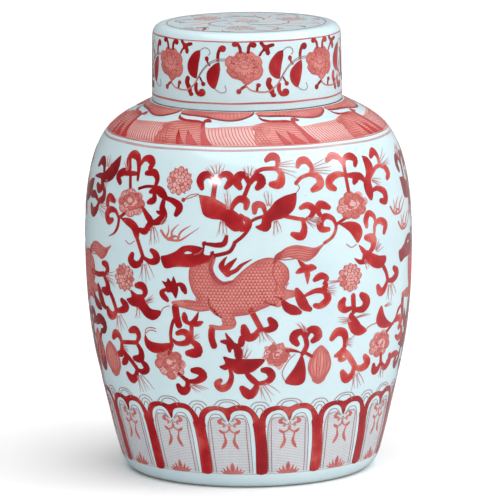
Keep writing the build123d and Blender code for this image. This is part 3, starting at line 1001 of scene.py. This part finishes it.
def side_leaves(pen):
    """What lies between the front and the beasts at the sides."""
    pen.leaf(12.5, (-56.2, 248), (-57.6, 240), (-61, 233), (-67, 227.6))
    pen.hook(5.6, (-65, 232), (-66.6, 239), (-69.6, 241.4), (-72, 237.6))
    pen.taper(5, (-64.6, 231), (-69, 230), (-73.4, 228.6))
    pen.hook(5.8, (-65.4, 230), (-64.6, 223.6), (-66.8, 220.6), (-69.2, 223))
    pen.grass((-63, 238), (-66.2, 245), (-64, 246), (-61.4, 244))
    pen.grass((-61.8, 229), (-61.6, 223.4), (-63.4, 222.6))
    pen.hook(5.2, (-66, 226), (-62.6, 221), (-62.8, 214.4), (-66.4, 211.6))
    pen.hook(6.4, (-65.8, 211), (-68, 204.6), (-71.4, 202), (-73.6, 206))
    pen.hook(5.2, (-66.8, 212), (-70.6, 215.6), (-74.4, 214))
    pen.grass((-64.6, 208), (-59.4, 211.4), (-58.8, 206.6), (-61.8, 201))
    pen.hook(7, (-67.4, 112), (-64.4, 114), (-63.6, 119), (-67.4, 121.8), (-71.6, 118.4))
    pen.stem(3.4, (-67, 113), (-70.4, 104))
    pen.blot((-69, 103.4), (-67.4, 97), (-67.2, 88), (-69.6, 80.8), (-73, 82.4), (-73.2, 90), (-71.4, 98.4))
    bud(pen, -61, 93, 11.4, 13.2)
    pen.hook(5.2, (-77, 90), (-80.4, 86.2), (-83, 89.6), (-81.6, 94.4))
    pen.hook(5.2, (-77.4, 91), (-76.6, 83.6), (-78.6, 80.4), (-81, 81.2))
    pen.stem(3.4, (-77.2, 89), (-75, 97), (-71.6, 101.6))
    pen.grass((-78.6, 82), (-80, 73), (-77.4, 72.6), (-75, 75.6))
    flame(pen, -108, 190)


def paint_half(pen):
    """One half of the wall's field; the other half is the same, turned half round."""
    beast(pen)
    bloom_leaves(pen)
    left_scrolls(pen)
    left_leaves(pen)
    low_middle(pen)
    # painted light: the motifs right of the front, toward the brightly lit side, in a paler copy of the iron
    # red
    light = pen.loaded(red="thin")
    top_right_sprig(light)
    right_scrolls(light)
    right_leaves(light)
    # painted shade: the motifs left of the front, toward the dim side, in a darker copy of the iron red
    shaded_pen = pen.loaded(red="shaded_red")
    side_leaves(shaded_pen)
    beast(shaded_pen.at(-83, -7))
    bloom_leaves(shaded_pen.at(-91, 0))
    low_middle(shaded_pen.at(-98, 2))


# ---------------------------------------------------------------- bands

LAPPETS = 15
LAPPET_TURN = -8  # degrees
LAPPET_BAR = ((10.4, 13), (10.2, 25), (10.0, 36), (9.4, 47), (9.0, 53), (11.7, 56.4), (13.8, 53.4),
              (14.1, 47), (14.8, 36), (15.2, 25), (15.4, 14.4), (14.6, 12.2), (12.9, 11.3), (11.2, 11.8))
LAPPET_ARCH = ((-12.4, 56), (-11.6, 60.6), (-10.2, 63.6), (-8.4, 65.3), (-6, 66.1), (-3.6, 65.9),
               (-1.2, 64.8), (0.2, 65.4), (1.6, 66.6), (4, 67.2), (6.8, 66.5), (8.8, 63.9), (10.2, 60.6),
               (11.6, 56), (11.9, 50), (9.6, 50), (9.0, 55), (8.1, 59.6), (6.4, 62.3), (4, 63), (1.7, 61.9),
               (0.5, 59.4), (0.2, 56.4), (-0.5, 53.8), (-1.2, 56.2), (-1.8, 59), (-3.1, 61.7), (-5.2, 62.8),
               (-7.8, 61.2), (-9.5, 57.8), (-10.0, 53), (-9.9, 49), (-12.6, 49))
STREAMER = (0.5, 0.4, 0.9, 1.0, 0.2)
HATCH_ROWS = 35
HATCH_PITCH = 1.27  # mm
HATCH_ARCHED = 52  # mm, from where the hatching narrows into the arches
SHOULDER_UNITS = 8
SHOULDER_TURN = -37  # degrees
LID_UNITS = 7
LID_DEGREE = 1.26  # mm of the lid's side in one degree
PLAN = 1.0  # the lid's top is drawn in mm both ways
RING_STEPS = 240
RING_LIFT = 0.16  # mm
RING_SUNK = 0.12  # mm


def lappet(pen):
    """One panel of the band round the foot, with a scroll and a lotus fan on a hatched ground.

    Two scalloped arches close it above. The bar is the one on its right.
    """
    pen.blot(*LAPPET_BAR)
    pen.blot(*LAPPET_ARCH)
    pen.draw("hatch", 0.7, EVEN, ((-13, 12), (0, 12.1), (13, 12)))
    for k in range(HATCH_ROWS):
        z = 13.6 + k * HATCH_PITCH
        lean = 0.6 - (z - 14) * 0.035
        arched = max(0.0, z - HATCH_ARCHED)
        left, right = lean - (8.6 - arched * 0.28), lean + (7.9 - arched * 0.3)
        gap = max(0.0, z - 51.5) * 0.36
        for start, stop in ((left, -gap - 0.5), (gap - 0.5, right)) if gap else ((left, right),):
            pen.draw("hatch", 0.45, EVEN, ((start, z), (stop, z + 0.15)))
    for inset, crest in ((0.0, 59.2), (1.4, 56.6)):
        left = ((-8.2, 13), (-8.7, 30), (-9.0, 46), (-8.3, 54.5), (-6.8, crest), (-4.2, crest + 0.2),
                (-2.9, crest - 2.4), (-2, 54.6))
        right = ((9.0, 13), (8.4, 30), (7.8, 46), (7.0, 54), (5.6, crest - 0.4), (3.0, crest),
                 (1.5, crest - 2.4), (0.8, 54.6))
        for inward, side in ((inset, left), (-inset, right)):
            pen.draw("fine", 0.5, EVEN, [(x + inward * min(1, (60 - z) / 12), z) for x, z in side])
    for side in (-1, 1):
        for film, width, shape, points in (
            ("coral", 2.5, BRUSH, ((2.9, 56), (4.0, 53.6), (2.7, 52))),
            ("scroll", 1.8, BRUSH, ((2.9, 52.6), (2.0, 51.4), (2.4, 49.4))),
            ("coral", 2.0, BRUSH, ((4.2, 47.2), (3.2, 45.6), (2.2, 44.6))),
            ("coral", 2.5, STREAMER, ((2.3, 45.2), (2.1, 42), (1.7, 38.6), (2.3, 35.4), (3.5, 32))),
            ("scroll", 1.2, EVEN, ((2.4, 45.4), (1.2, 45.6), (0, 48))),
            ("fine", 0.5, EVEN, ((2.0, 51.2), (0.9, 50.6), (0, 53))),
        ):
            pen.draw(film, width, shape, [(-0.3 + side * x, z) for x, z in points])
    pen.draw("scroll", 1.8, BRUSH, ((-0.3, 51), (-0.3, 49), (-0.3, 46.4)))
    lotus_fan(pen, 0.2, 12.4)
    for middle, fall, drop, arcs in (
        (-0.7, 4.8, 1, ((5.2, 71.4), (3.8, 69.7))),
        (11.7, 3.6, 0.8, ((3.6, 69.6), (2.4, 67.2), (1.4, 64.6))),
    ):
        for reach, crest in arcs:
            near = reach * 0.6
            cloud = ((-reach, fall), (-near, drop), (0, 0), (near, drop), (reach, fall))
            pen.draw("fine", 0.55, EVEN, [(middle + x, crest - down) for x, down in cloud])


def lotus_fan(pen, x, z):
    """A small lotus seen from the side: curved petals fanned up from one root."""
    for side in (-1, 1):
        for width, points in (
            (2.4, ((0.5, 0.6), (1.9, 2.8), (2.3, 6.4))),
            (2.2, ((1.0, 0.4), (3.1, 1.6), (3.9, 4.4))),
            (1.8, ((1.6, 0.3), (3.8, 0.6), (5.2, 2.2))),
        ):
            pen.draw("coral", width, FADE, [(x + side * u, z + v) for u, v in points])
    pen.draw("scroll", 3.6, (0.5, 1.0, 0.8, 0.15), ((x, z + 1.4), (x, z + 4), (x, z + 6.6), (x, z + 8.8)))
    for u in (-2.4, -0.8, 0.8, 2.4):
        pen.draw("fine", 0.8, EVEN, ((x + u, z + 0.2), (x + u * 1.1, z + 1.2)))


def shoulder_panel(pen):
    """One length of the band below the neck, over 45 degrees.

    It is a dark hatched cloud, a paler hatched ground, the gap above them and a lobe hanging from the lid's
    seat.
    """
    pen.blot((-4, 12.7), (-5, 22), (-3.6, 31), (-1, 36.4), (5, 37.4), (11, 36.2), (15, 35.4), (16.6, 28),
             (18.6, 20), (22, 12.7), (13, 12.6), (4, 12.6), film="coral")
    pen.blot((16, 12.6), (15, 22), (15.6, 31), (19, 30.6), (28, 32.2), (39, 33.6), (43, 36.2), (47, 36.6),
             (46, 24), (46, 12.6), (36, 12.6), (26, 12.6), film="pink")
    for k in range(12):
        s = 13.8 + k * 1.95
        start = -5 + abs(k - 6) * 0.16
        pen.draw("line", 0.85, FADE, ((19.6 - (s - 13) * 0.2, s), (10, s + 0.5), (start, s - 0.3)))
    for k in range(17):
        u = 19 + k * 1.5
        top = 29.6 + 0.12 * k
        pen.draw("line", 0.6, EVEN, ((u, top), (u + 1.3, 22), (u + 3.9, 13.2)))
    for k in range(8):
        rise = k * 2.4
        pen.draw("line", 0.5, EVEN, ((42.2, 14.5 + rise), (45, 14.8 + rise), (47.4, 14.3 + rise)))
    pen.blot((39.4, 28.4), (41.6, 27.4), (44.6, 28.6), (44, 32.4), (41.4, 33.6), (39.2, 32), film="coral")
    for peak, low, high in (((4.4, 28), 7.0, 10.4), ((9.4, 27), 11.4, 16.6)):
        u = peak[0]
        pen.blot(peak, peak, ((u + low) / 2 - 0.3, 19.5), (low, 12.8), (low, 12.8), (high, 12.8),
                 (high, 12.8), ((u + high) / 2, 19.8), film="over")
    pen.draw("over", 1.2, FADE, ((13.6, 17), (12.4, 21), (12.2, 24)))
    pen.blot((14.2, 37), (15.8, 37), (16.4, 33), (17.8, 27), (19.6, 20), (22.6, 12.8), (22.6, 12.8),
             (18, 12.8), (18, 12.8), (16.8, 20), (15.6, 27), (14.4, 33), film="over")
    pen.brush(4.4, (14.8, 37.4), (16.2, 39.2), (18.2, 38.2))
    cloud_edge = ((-1.6, 43.6), (-0.2, 40.6), (3, 38.6), (7, 38), (11.4, 37.6), (15, 35.8))
    pen.draw("red", 3.2, (0.5, 1.0, 0.8, 0.9, 1.0, 0.8), cloud_edge)
    pen.blot((-2.4, 50.6), (-2.4, 46.9), (2, 45.6), (8, 45.2), (15, 44), (22, 41.2), (28, 40), (33, 41.4),
             (37, 44.6), (39.4, 47.4), (40.4, 50.6), (28, 50.8), (12, 50.8), film="coral")
    lobe_edge = ((-2, 46), (4, 45), (9, 44.8), (15, 43.6), (22, 40.9), (28, 39.7), (33, 41), (37, 44.2),
                 (39.8, 47.4), (40.8, 50.4))
    pen.draw("red", 2.2, (0.7, 1.0, 0.8, 1.0, 0.6), lobe_edge)
    for k in range(13):
        u = 8 + k * 2.1
        pen.draw("line", 0.5, EVEN, ((u, 50.4), (u + 0.9, 44.6 - 0.22 * k if k < 9 else 42.6)))


def lid_unit(pen):
    """One length of the lid's side: a peony, a four-lobed leaf, two half leaves and their scrolls."""
    lid_peony(pen)
    pen.blot((7, 323), (8.2, 322.4), (9.6, 325.2), (11, 326.2), (11.8, 323.6), (13.2, 323), (14.2, 325),
             (13.6, 328.4), (15.2, 329), (17, 330.2), (16.4, 331.8), (14, 331.6), (12.2, 330.8),
             (10.8, 331.2), (9.8, 333), (8, 333.4), (7.8, 331.6), (9.2, 329.6), (9.6, 327.8), (8, 325.2))
    pen.blot((22.4, 326.6), (22.4, 326.6), (22.4, 322), (21.3, 316), (20.6, 310), (20, 305.2), (20, 305.2),
             (17.4, 305.6), (14.5, 308.5), (13.2, 313), (13.8, 317.6), (16, 322), (19, 325.4))
    pen.blot((34.9, 318), (34.9, 318), (35.3, 313), (34.6, 307), (33.2, 301), (32, 297.8), (32, 297.8),
             (30, 298.6), (27.5, 302), (26.6, 306.6), (27.2, 311), (29.8, 314.6), (32.6, 317.2))
    for points in (
        ((22.2, 325.6), (24, 327.8), (26.5, 328.4), (28.6, 326.6), (28.8, 324), (27.6, 323)),
        ((32, 298), (34.5, 295.8), (37, 295.2), (38.9, 296.6), (38.6, 299), (38, 300.8)),
    ):
        pen.draw("fine", 0.6, EVEN, points)
    trunk = ((20.2, 304.2), (22.6, 309), (25, 313), (28.2, 316.6), (32, 319), (36, 319.8), (39.4, 319.8))
    for shift in (-0.65, 0.65):
        pen.draw("fine", 0.6, EVEN, [(x, z + shift) for x, z in trunk])
    pen.draw("scroll", 1.1, EVEN, ((20.4, 304.6), (18, 300.4), (15, 297.4), (12, 295.8), (6.4, 296),
                                   (2, 297.6), (-0.6, 300.6)))
    for width, stem, dab in (
        (2.4, ((-3.7, 325.6), (-4.1, 329), (-5.4, 331.8)), (-7.1, 331.5, 2.3, 1.9)),
        (2.4, ((0.9, 325.6), (1.3, 329.4), (2.6, 332)), (4.1, 331.0, 2.4, 2.1)),
        (2.5, ((33.9, 319.4), (34.0, 324), (35.4, 328.6)), (36.9, 328.2, 2.7, 2.6)),
        (1.5, ((28.6, 315.6), (27.4, 317.4), (27, 319.6)), (26.8, 320.2, 1.6, 2.0)),
        (1.4, ((22.2, 306), (23, 304.2), (24, 302.4)), (24.4, 301.3, 1.8, 1.7)),
        (4.0, ((13.4, 304.6), (12.9, 301.6), (14.4, 298), (15, 295.4)), (15.9, 293.2, 2.0, 1.7)),
        (3.0, ((19.5, 301), (19.4, 297), (20.8, 293.8), (23, 293.2)), (23.6, 294.8, 3.0, 2.9)),
        (2.2, ((-0.8, 300.4), (-2.6, 299.2), (-4.2, 297.4)), (-4.9, 296.4, 2.0, 2.0)),
        (1.8, ((6.0, 296.8), (6.1, 298.6), (6.6, 300.4)), (6.9, 300.9, 1.8, 1.6)),
    ):
        pen.stem(width, *stem)
        pen.spot(*dab)


def lid_peony(pen):
    """The lid's large peony: cupped petals in rings, the lowest drawn to a point."""
    pen.blot((-13.2, 316.4), (-12.6, 320.6), (-10.2, 323.2), (-7.8, 322.6), (-6, 325.6), (-3.4, 326.6),
             (-1, 325.4), (1.2, 326.4), (3.8, 325.4), (5.4, 323.4), (8, 321.8), (9.4, 318.2), (9, 315.4),
             (9.8, 312.2), (9.2, 308.4), (7, 305.2), (4.6, 304.6), (2.6, 303), (0.4, 301.2), (-2, 302.2),
             (-3.6, 304.4), (-5.8, 305.4), (-8.4, 306.2), (-10.6, 308.4), (-12.4, 311.6), (-11.8, 314.2),
             film="coral")
    for centre, share, petals, phase, hairs in (
        ((-1.7, 314.4), 0.9, 9, 0.3, 3),
        ((-1.4, 315.4), 0.62, 7, 0.1, 2),
        ((-1.4, 316.4), 0.32, 5, 0.4, 1),
    ):
        petal_rings(pen, centre, (13.4, 11.4), ((share, petals, phase),), LID_DEGREE, hairs)
    for width, points in (
        (3.0, ((-9.4, 312.4), (-7.6, 310.2), (-4.8, 309))),
        (2.4, ((-9.6, 318.2), (-8.6, 320.2), (-6.2, 321.2))),
        (2.0, ((-4.4, 316), (-1.6, 317.2), (1.4, 315.6))),
        (2.0, ((3.6, 319.4), (5.4, 316.6), (5.2, 312.8))),
    ):
        pen.draw("scroll", width, BRUSH, points)


def lid_top(pen):
    """Worn pale sprays on the lid's nearly flat top, with a few darker touches left.

    They are three peonies and their leaves round a middle flower.
    """
    worn = pen.loaded(line="faint_line")
    for turn in range(3):
        angle = 2 * math.pi * turn / 3 + 0.5

        def spot(out, ahead, angle=angle):
            return (out * math.cos(angle + ahead), out * math.sin(angle + ahead))

        bloom, size = spot(37, -0.1), (11.5, 11.5)
        pen.blot(*flower_outline(bloom, size, 8, 0.14, angle, PLAN), film="faint")
        petal_rings(worn, bloom, size, ((0.95, 8, angle), (0.6, 6, angle + 0.4), (0.28, 4, angle)), PLAN, 1)
        for width, points in (
            (6.0, (spot(26, 0.36), spot(38, 0.56), spot(51, 0.6))),
            (5.4, (spot(24, 0.66), spot(36, 0.88), spot(50, 0.98))),
            (5.0, (spot(30, 1.12), spot(41, 1.3), spot(53, 1.34))),
            (6.6, (spot(10, 0.9), spot(17, 1.2), spot(22, 1.62))),
            (4.6, (spot(49, 1.52), spot(54, 1.44), spot(57, 1.3))),
        ):
            pen.draw("faint", width, LEAF, points)
            worn.line(*points)
        worn.line(spot(16, 0.1), spot(22, 0.45), spot(29, 0.85), spot(33, 1.2), spot(32, 1.6), width=1.3)
        worn.line(spot(50, -0.34), spot(56, -0.3), spot(56.5, -0.2), spot(53.5, -0.16), width=0.8)
        worn.line(spot(46, 0.1), spot(52, 0.22), spot(55, 0.34), spot(52.5, 0.42), width=0.8)
        pen.draw("fine", 1.8, BRUSH, (spot(51, 0.42), spot(50, 0.5), spot(46, 0.56)))
    pen.blot(*flower_outline((0, 0), (9.5, 9.5), 7, 0.14, 0.2, PLAN), film="faint")
    petal_rings(worn, (0, 0), (9.5, 9.5), ((0.95, 7, 0.2), (0.5, 5, 0.6)), PLAN, 1)
    border = [(60 * math.cos(math.radians(a)), 60 * math.sin(math.radians(a))) for a in range(0, 361, 8)]
    pen.draw("fine", 0.8, EVEN, border)
    for film, width, points in (
        ("red", 2.4, ((-33, -47), (-31, -41), (-32, -32))),
        ("red", 2.0, ((-38, -33), (-33, -32), (-28, -34))),
        ("fine", 2.4, ((-47, -33), (-44, -32), (-40, -34))),
        ("fine", 1.6, ((40, -27), (43, -29), (44, -33))),
    ):
        pen.draw(film, width, BRUSH, points)


def hand_ring(name, surface, height, width, material, body):
    """A line drawn round the turning pot by hand: nearly even, joined where it began."""
    rows = ((-0.5, RING_LIFT), (0.5, RING_LIFT), (0.5, -RING_SUNK), (-0.5, -RING_SUNK))
    corners = []
    for k in range(RING_STEPS):
        turn = 360.0 * k / RING_STEPS
        slow, quick = math.sin(math.radians(3 * turn + 40)), math.sin(math.radians(11 * turn))
        wander = 0.18 * width * slow + 0.1 * width * quick
        swell = width * (1 + 0.12 * math.sin(math.radians(5 * turn + 10)))
        for share, rise in rows:
            places, _ = surface.lay(np.array([(0.0, height + wander + share * swell)]), rise, turn)
            corners.append(tuple(places[0]))
    faces = []
    for k in range(RING_STEPS):
        a, b = 4 * k, 4 * ((k + 1) % RING_STEPS)
        for row in range(4):
            after = (row + 1) % 4
            faces.append((a + row, b + row, b + after, a + after))
    mesh = bpy.data.meshes.new(name)
    mesh.from_pydata(corners, [], faces)
    add_piece(mesh, np.full(len(corners), width * 0.4), material, body)


# ---------------------------------------------------------------- putting it together

RED_STOPS = ((0.0, (0.52, 0.085, 0.075)), (0.28, (0.43, 0.026, 0.026)), (0.6, (0.36, 0.008, 0.012)),
             (1.0, (0.26, 0.004, 0.008)))
# the iron red darkened as painted shade, for the motifs toward the dim left side
SHADED_RED_STOPS = ((0.0, (0.38, 0.065, 0.06)), (0.28, (0.30, 0.022, 0.022)), (0.6, (0.25, 0.008, 0.012)),
              (1.0, (0.19, 0.004, 0.008)))
# the iron red paled as painted light, for the motifs toward the brightly lit right side
LIT_RED_STOPS = ((0.0, (0.62, 0.15, 0.13)), (0.28, (0.53, 0.06, 0.052)), (0.6, (0.44, 0.018, 0.02)),
              (1.0, (0.34, 0.008, 0.012)))
FULL_STOPS = ((0.0, (0.50, 0.035, 0.035)), (1.0, (0.42, 0.008, 0.012)))
CORAL_STOPS = ((0.0, (0.50, 0.12, 0.105)), (0.35, (0.58, 0.165, 0.145)), (1.0, (0.69, 0.26, 0.225)))
PINK_STOPS = ((0.0, (0.60, 0.24, 0.215)), (0.4, (0.66, 0.32, 0.295)), (1.0, (0.71, 0.41, 0.385)))
LINE_STOPS = ((0.0, (0.46, 0.085, 0.08)), (1.0, (0.36, 0.045, 0.05)))
SCROLL_STOPS = ((0.0, (0.55, 0.18, 0.16)), (1.0, (0.42, 0.09, 0.085)))
GRASS_STOPS = ((0.0, (0.50, 0.22, 0.22)), (1.0, (0.36, 0.12, 0.13)))
FINE_STOPS = ((0.0, (0.34, 0.20, 0.21)), (1.0, (0.24, 0.13, 0.14)))
HATCH_STOPS = ((0.0, (0.57, 0.42, 0.43)), (1.0, (0.48, 0.31, 0.32)))
FAINT_STOPS = ((0.0, (0.64, 0.63, 0.65)), (0.5, (0.68, 0.54, 0.54)), (1.0, (0.70, 0.45, 0.43)))

FOOT_BARE = (-1, 1.4, 100)  # lowest, highest, outer radius in mm
SEAT_BARE = (280, 283, 72.2)
LIP_BARE = (317, 330, 100)
RIM_BARE = (270, 281.8, 100)
# bands of bare biscuit painted dark as the shadow where the lid meets the jar: the jar's seat and the lid's
# rim
SEAT_SHADOW = (280, 283)
RIM_SHADOW = (270, 282)

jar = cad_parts["jar_body"]
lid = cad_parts["lid"]
jar.data.materials.clear()
jar.data.materials.append(glaze("JarGlaze", (FOOT_BARE, SEAT_BARE, LIP_BARE), SEAT_SHADOW))
lid.data.materials.clear()
lid.data.materials.append(glaze("LidGlaze", (RIM_BARE,), RIM_SHADOW))

iron_red = enamel("IronRed", RED_STOPS, reach=2.4, pooling=0.4, roughness=0.11, edge=0.3, rim=0.62)
# painted shade: a darker copy of the iron red for the motifs toward the dim left side
iron_red_shaded = enamel("IronRedShaded", SHADED_RED_STOPS, reach=2.4, pooling=0.4, roughness=0.11, edge=0.3, rim=0.62)
# painted light: a paler copy of the iron red for the motifs toward the bright right side
iron_red_lit = enamel("IronRedLit", LIT_RED_STOPS, reach=2.4, pooling=0.44, roughness=0.14, edge=0.3, rim=0.8)
iron_red_full = enamel("IronRedFull", FULL_STOPS, reach=2.4, pooling=0.3, roughness=0.11, edge=0.3, rim=0.75)
coral_wash = enamel("CoralWash", CORAL_STOPS, reach=6.0, pooling=0.35, roughness=0.22)
pink_wash = enamel("PinkWash", PINK_STOPS, reach=5.0, pooling=0.35, roughness=0.22)
outline_red = enamel("OutlineRed", LINE_STOPS, reach=0.6, pooling=0.4, roughness=0.24)
scroll_red = enamel("ScrollRed", SCROLL_STOPS, reach=1.2, pooling=0.4, roughness=0.24)
grass_red = enamel("GrassRed", GRASS_STOPS, reach=0.6, pooling=0.5, roughness=0.24)
fine_brown = enamel("FineBrown", FINE_STOPS, reach=0.6, pooling=0.5, roughness=0.24)
hatch_red = enamel("HatchRed", HATCH_STOPS, reach=0.6, pooling=0.5, roughness=0.24)
faint_red = enamel("FaintRed", FAINT_STOPS, reach=6.0, pooling=0.5, roughness=0.2)

LAYERS = {  # film: material, slot, lift in mm
    "hatch": (hatch_red, "coral_enamel", 0.11),
    "faint": (faint_red, "coral_enamel", 0.11),
    "pink": (pink_wash, "coral_enamel", 0.12),
    "coral": (coral_wash, "coral_enamel", 0.145),
    # painted shade: the darker iron red of the dim left side
    "shaded_red": (iron_red_shaded, "iron_red_enamel", 0.16),
    # painted light: the paler iron red of the bright right side
    "thin": (iron_red_lit, "iron_red_enamel", 0.168),
    "red": (iron_red, "iron_red_enamel", 0.175),
    "faint_line": (fine_brown, "iron_red_enamel", 0.15),
    "scroll": (scroll_red, "coral_enamel", 0.19),
    "fine": (fine_brown, "iron_red_enamel", 0.2),
    "grass": (grass_red, "iron_red_enamel", 0.2),
    "scale": (outline_red, "iron_red_enamel", 0.205),
    "line": (outline_red, "iron_red_enamel", 0.215),
    "over": (iron_red_full, "iron_red_enamel", 0.24),
}
SUNK = 0.2  # mm


def paint(name, surface, body, draw, turns):
    """Draws one unit on fresh films and lays it at every turn."""
    films = {layer: Film(surface) for layer in LAYERS}
    draw(Pen(films))
    for layer, film in films.items():
        if film.patches:
            material, slot, lift = LAYERS[layer]
            film.build(f"{name}_{layer}", lift, SUNK, material, slot, body, turns)


def turns_of(count, first=0):
    """The turns in degrees of a number of units spread round the pot."""
    return [360.0 / count * k + first for k in range(count)]


# lowest and highest point in mm, and the radius where the drawing is true to size
wall = wall_skin(jar, 8, 262, 118)
foot_wall = wall_skin(jar, 8, 76, 96)
slope = wall_skin(jar, 250, 281.2, 96, by_slope=True)
lid_side = wall_skin(lid, 282.5, 335.5, 72)
paint("Field", wall, "jar", paint_half, turns_of(2))
paint("Lappets", foot_wall, "jar", lappet, turns_of(LAPPETS, LAPPET_TURN))
paint("Shoulder", slope, "jar", shoulder_panel, turns_of(SHOULDER_UNITS, SHOULDER_TURN))
paint("LidSide", lid_side, "lid", lid_unit, turns_of(LID_UNITS))
paint("LidTop", Top(lid, reach=61.5), "lid", lid_top, turns_of(1))

for name, surface, height, width, material, slot, body in (
    ("RingShoulderLow", slope, 8.6, 1.7, hatch_red, "coral_enamel", "jar"),
    ("RingShoulderHigh", slope, 12.0, 0.9, scroll_red, "coral_enamel", "jar"),
    ("RingLidLow", lid_side, 287.2, 1.3, scroll_red, "coral_enamel", "lid"),
    ("RingLidHigh", lid_side, 333.2, 1.1, scroll_red, "coral_enamel", "lid"),
):
    hand_ring(name, surface, height, width, material, body)

# ---------------------------------------------------------------- floor, light and camera

FLOOR_HALF = 6.0  # m
FLOOR_WHITE = (0.98, 0.98, 0.98)
FLOOR_ROUGHNESS = 0.9
ROOM_LEFT, ROOM_RIGHT = (0.08, 0.084, 0.088), (0.54, 0.55, 0.56)  # the room's light fades from right to left
LIGHTS_AIM = Vector((0, 0, 0.17))
SUN_STRENGTH, SUN_WIDTH = 2.84, 88  # degrees
SUN_TILT = (12, 10, 0)  # degrees
EYE_DISTANCE, EYE_RISE, EYE_ROLL = 4.10, 9.6, -0.55  # m, degrees, degrees
EYE_AIM = Vector((0.00106, 0, 0.165))
SENSOR_WIDTH, FOCAL_LENGTH = 36, 388.8  # mm

scene = bpy.context.scene


def plain(name, colour, roughness):
    """A material of one colour, for what isn't part of the object."""
    material, _, shader = new_material(name)
    shader.inputs["Base Color"].default_value = (*colour, 1)
    shader.inputs["Roughness"].default_value = roughness
    return material


def white_floor(half, height):
    """A plain square under the jar's foot, in m."""
    corners = [(x * half, y * half, height) for x, y in ((-1, -1), (1, -1), (1, 1), (-1, 1))]
    mesh = bpy.data.meshes.new("Floor")
    mesh.from_pydata(corners, [], [(0, 1, 2, 3)])
    mesh.materials.append(plain("FloorWhite", FLOOR_WHITE, FLOOR_ROUGHNESS))
    floor = bpy.data.objects.new("Floor", mesh)
    scene.collection.objects.link(floor)
    floor.visible_glossy = False  # the glaze mirrors the dimmer room instead of a boundless white floor


def room():
    """Dim walls for the glaze to mirror, and a plain white backdrop for the camera."""
    world = bpy.data.worlds.new("Studio")
    scene.world = world
    world.use_nodes = True
    tree = world.node_tree
    across = node(tree, "ShaderNodeSeparateXYZ")
    tree.links.new(node(tree, "ShaderNodeTexCoord").outputs["Generated"], across.inputs[0])
    walls = ramp(tree, spread(tree, across.outputs[0], -1, 1), ((0.1, ROOM_LEFT), (0.9, ROOM_RIGHT)))
    by_camera = node(tree, "ShaderNodeLightPath").outputs["Is Camera Ray"]
    tree.links.new(mix(tree, by_camera, walls, (1, 1, 1, 1)), tree.nodes["Background"].inputs["Color"])


def softbox(name, turn, rise, distance, size, radiance):
    """A rectangular light facing the jar, placed by its direction from the front in degrees."""
    light = bpy.data.lights.new(name, "AREA")
    light.shape, light.size, light.size_y = "RECTANGLE", size[0], size[1]
    light.energy = radiance * math.pi * size[0] * size[1]
    a, b = math.radians(turn), math.radians(rise)
    away = Vector((math.sin(a) * math.cos(b), -math.cos(a) * math.cos(b), math.sin(b)))
    lamp = bpy.data.objects.new(name, light)
    lamp.location = LIGHTS_AIM + distance * away
    lamp.rotation_euler = (LIGHTS_AIM - lamp.location).to_track_quat("-Z", "Y").to_euler()
    scene.collection.objects.link(lamp)


def soft_sky():
    """A sun as wide as an overcast sky."""
    sun = bpy.data.lights.new("SoftSky", "SUN")
    sun.energy, sun.angle = SUN_STRENGTH, math.radians(SUN_WIDTH)
    sky = bpy.data.objects.new("SoftSky", sun)
    sky.rotation_euler = [math.radians(tilt) for tilt in SUN_TILT]
    scene.collection.objects.link(sky)


def add_camera():
    """The photograph's view: from the front, a little above, rolled slightly."""
    camera_data = bpy.data.cameras.new("Camera")
    camera_data.sensor_width, camera_data.lens = SENSOR_WIDTH, FOCAL_LENGTH
    camera = bpy.data.objects.new("Camera", camera_data)
    back = Vector((0, -math.cos(math.radians(EYE_RISE)), math.sin(math.radians(EYE_RISE))))
    camera.location = EYE_AIM + EYE_DISTANCE * back
    facing = (-back).to_track_quat("-Z", "Y").to_matrix().to_4x4()
    roll = Matrix.Rotation(math.radians(EYE_ROLL), 4, "Z")
    camera.rotation_euler = (facing @ roll).to_euler()
    scene.collection.objects.link(camera)
    scene.camera = camera


white_floor(FLOOR_HALF, cad_box[0][2])
room()
soft_sky()
softbox("RightBox", turn=75, rise=31, distance=2.2, size=(0.6, 0.7), radiance=4.5)
softbox("FrontLamp", turn=-24.0, rise=22.4, distance=2.6, size=(0.26, 0.18), radiance=48.0)
add_camera()
scene.view_settings.view_transform = "Standard"
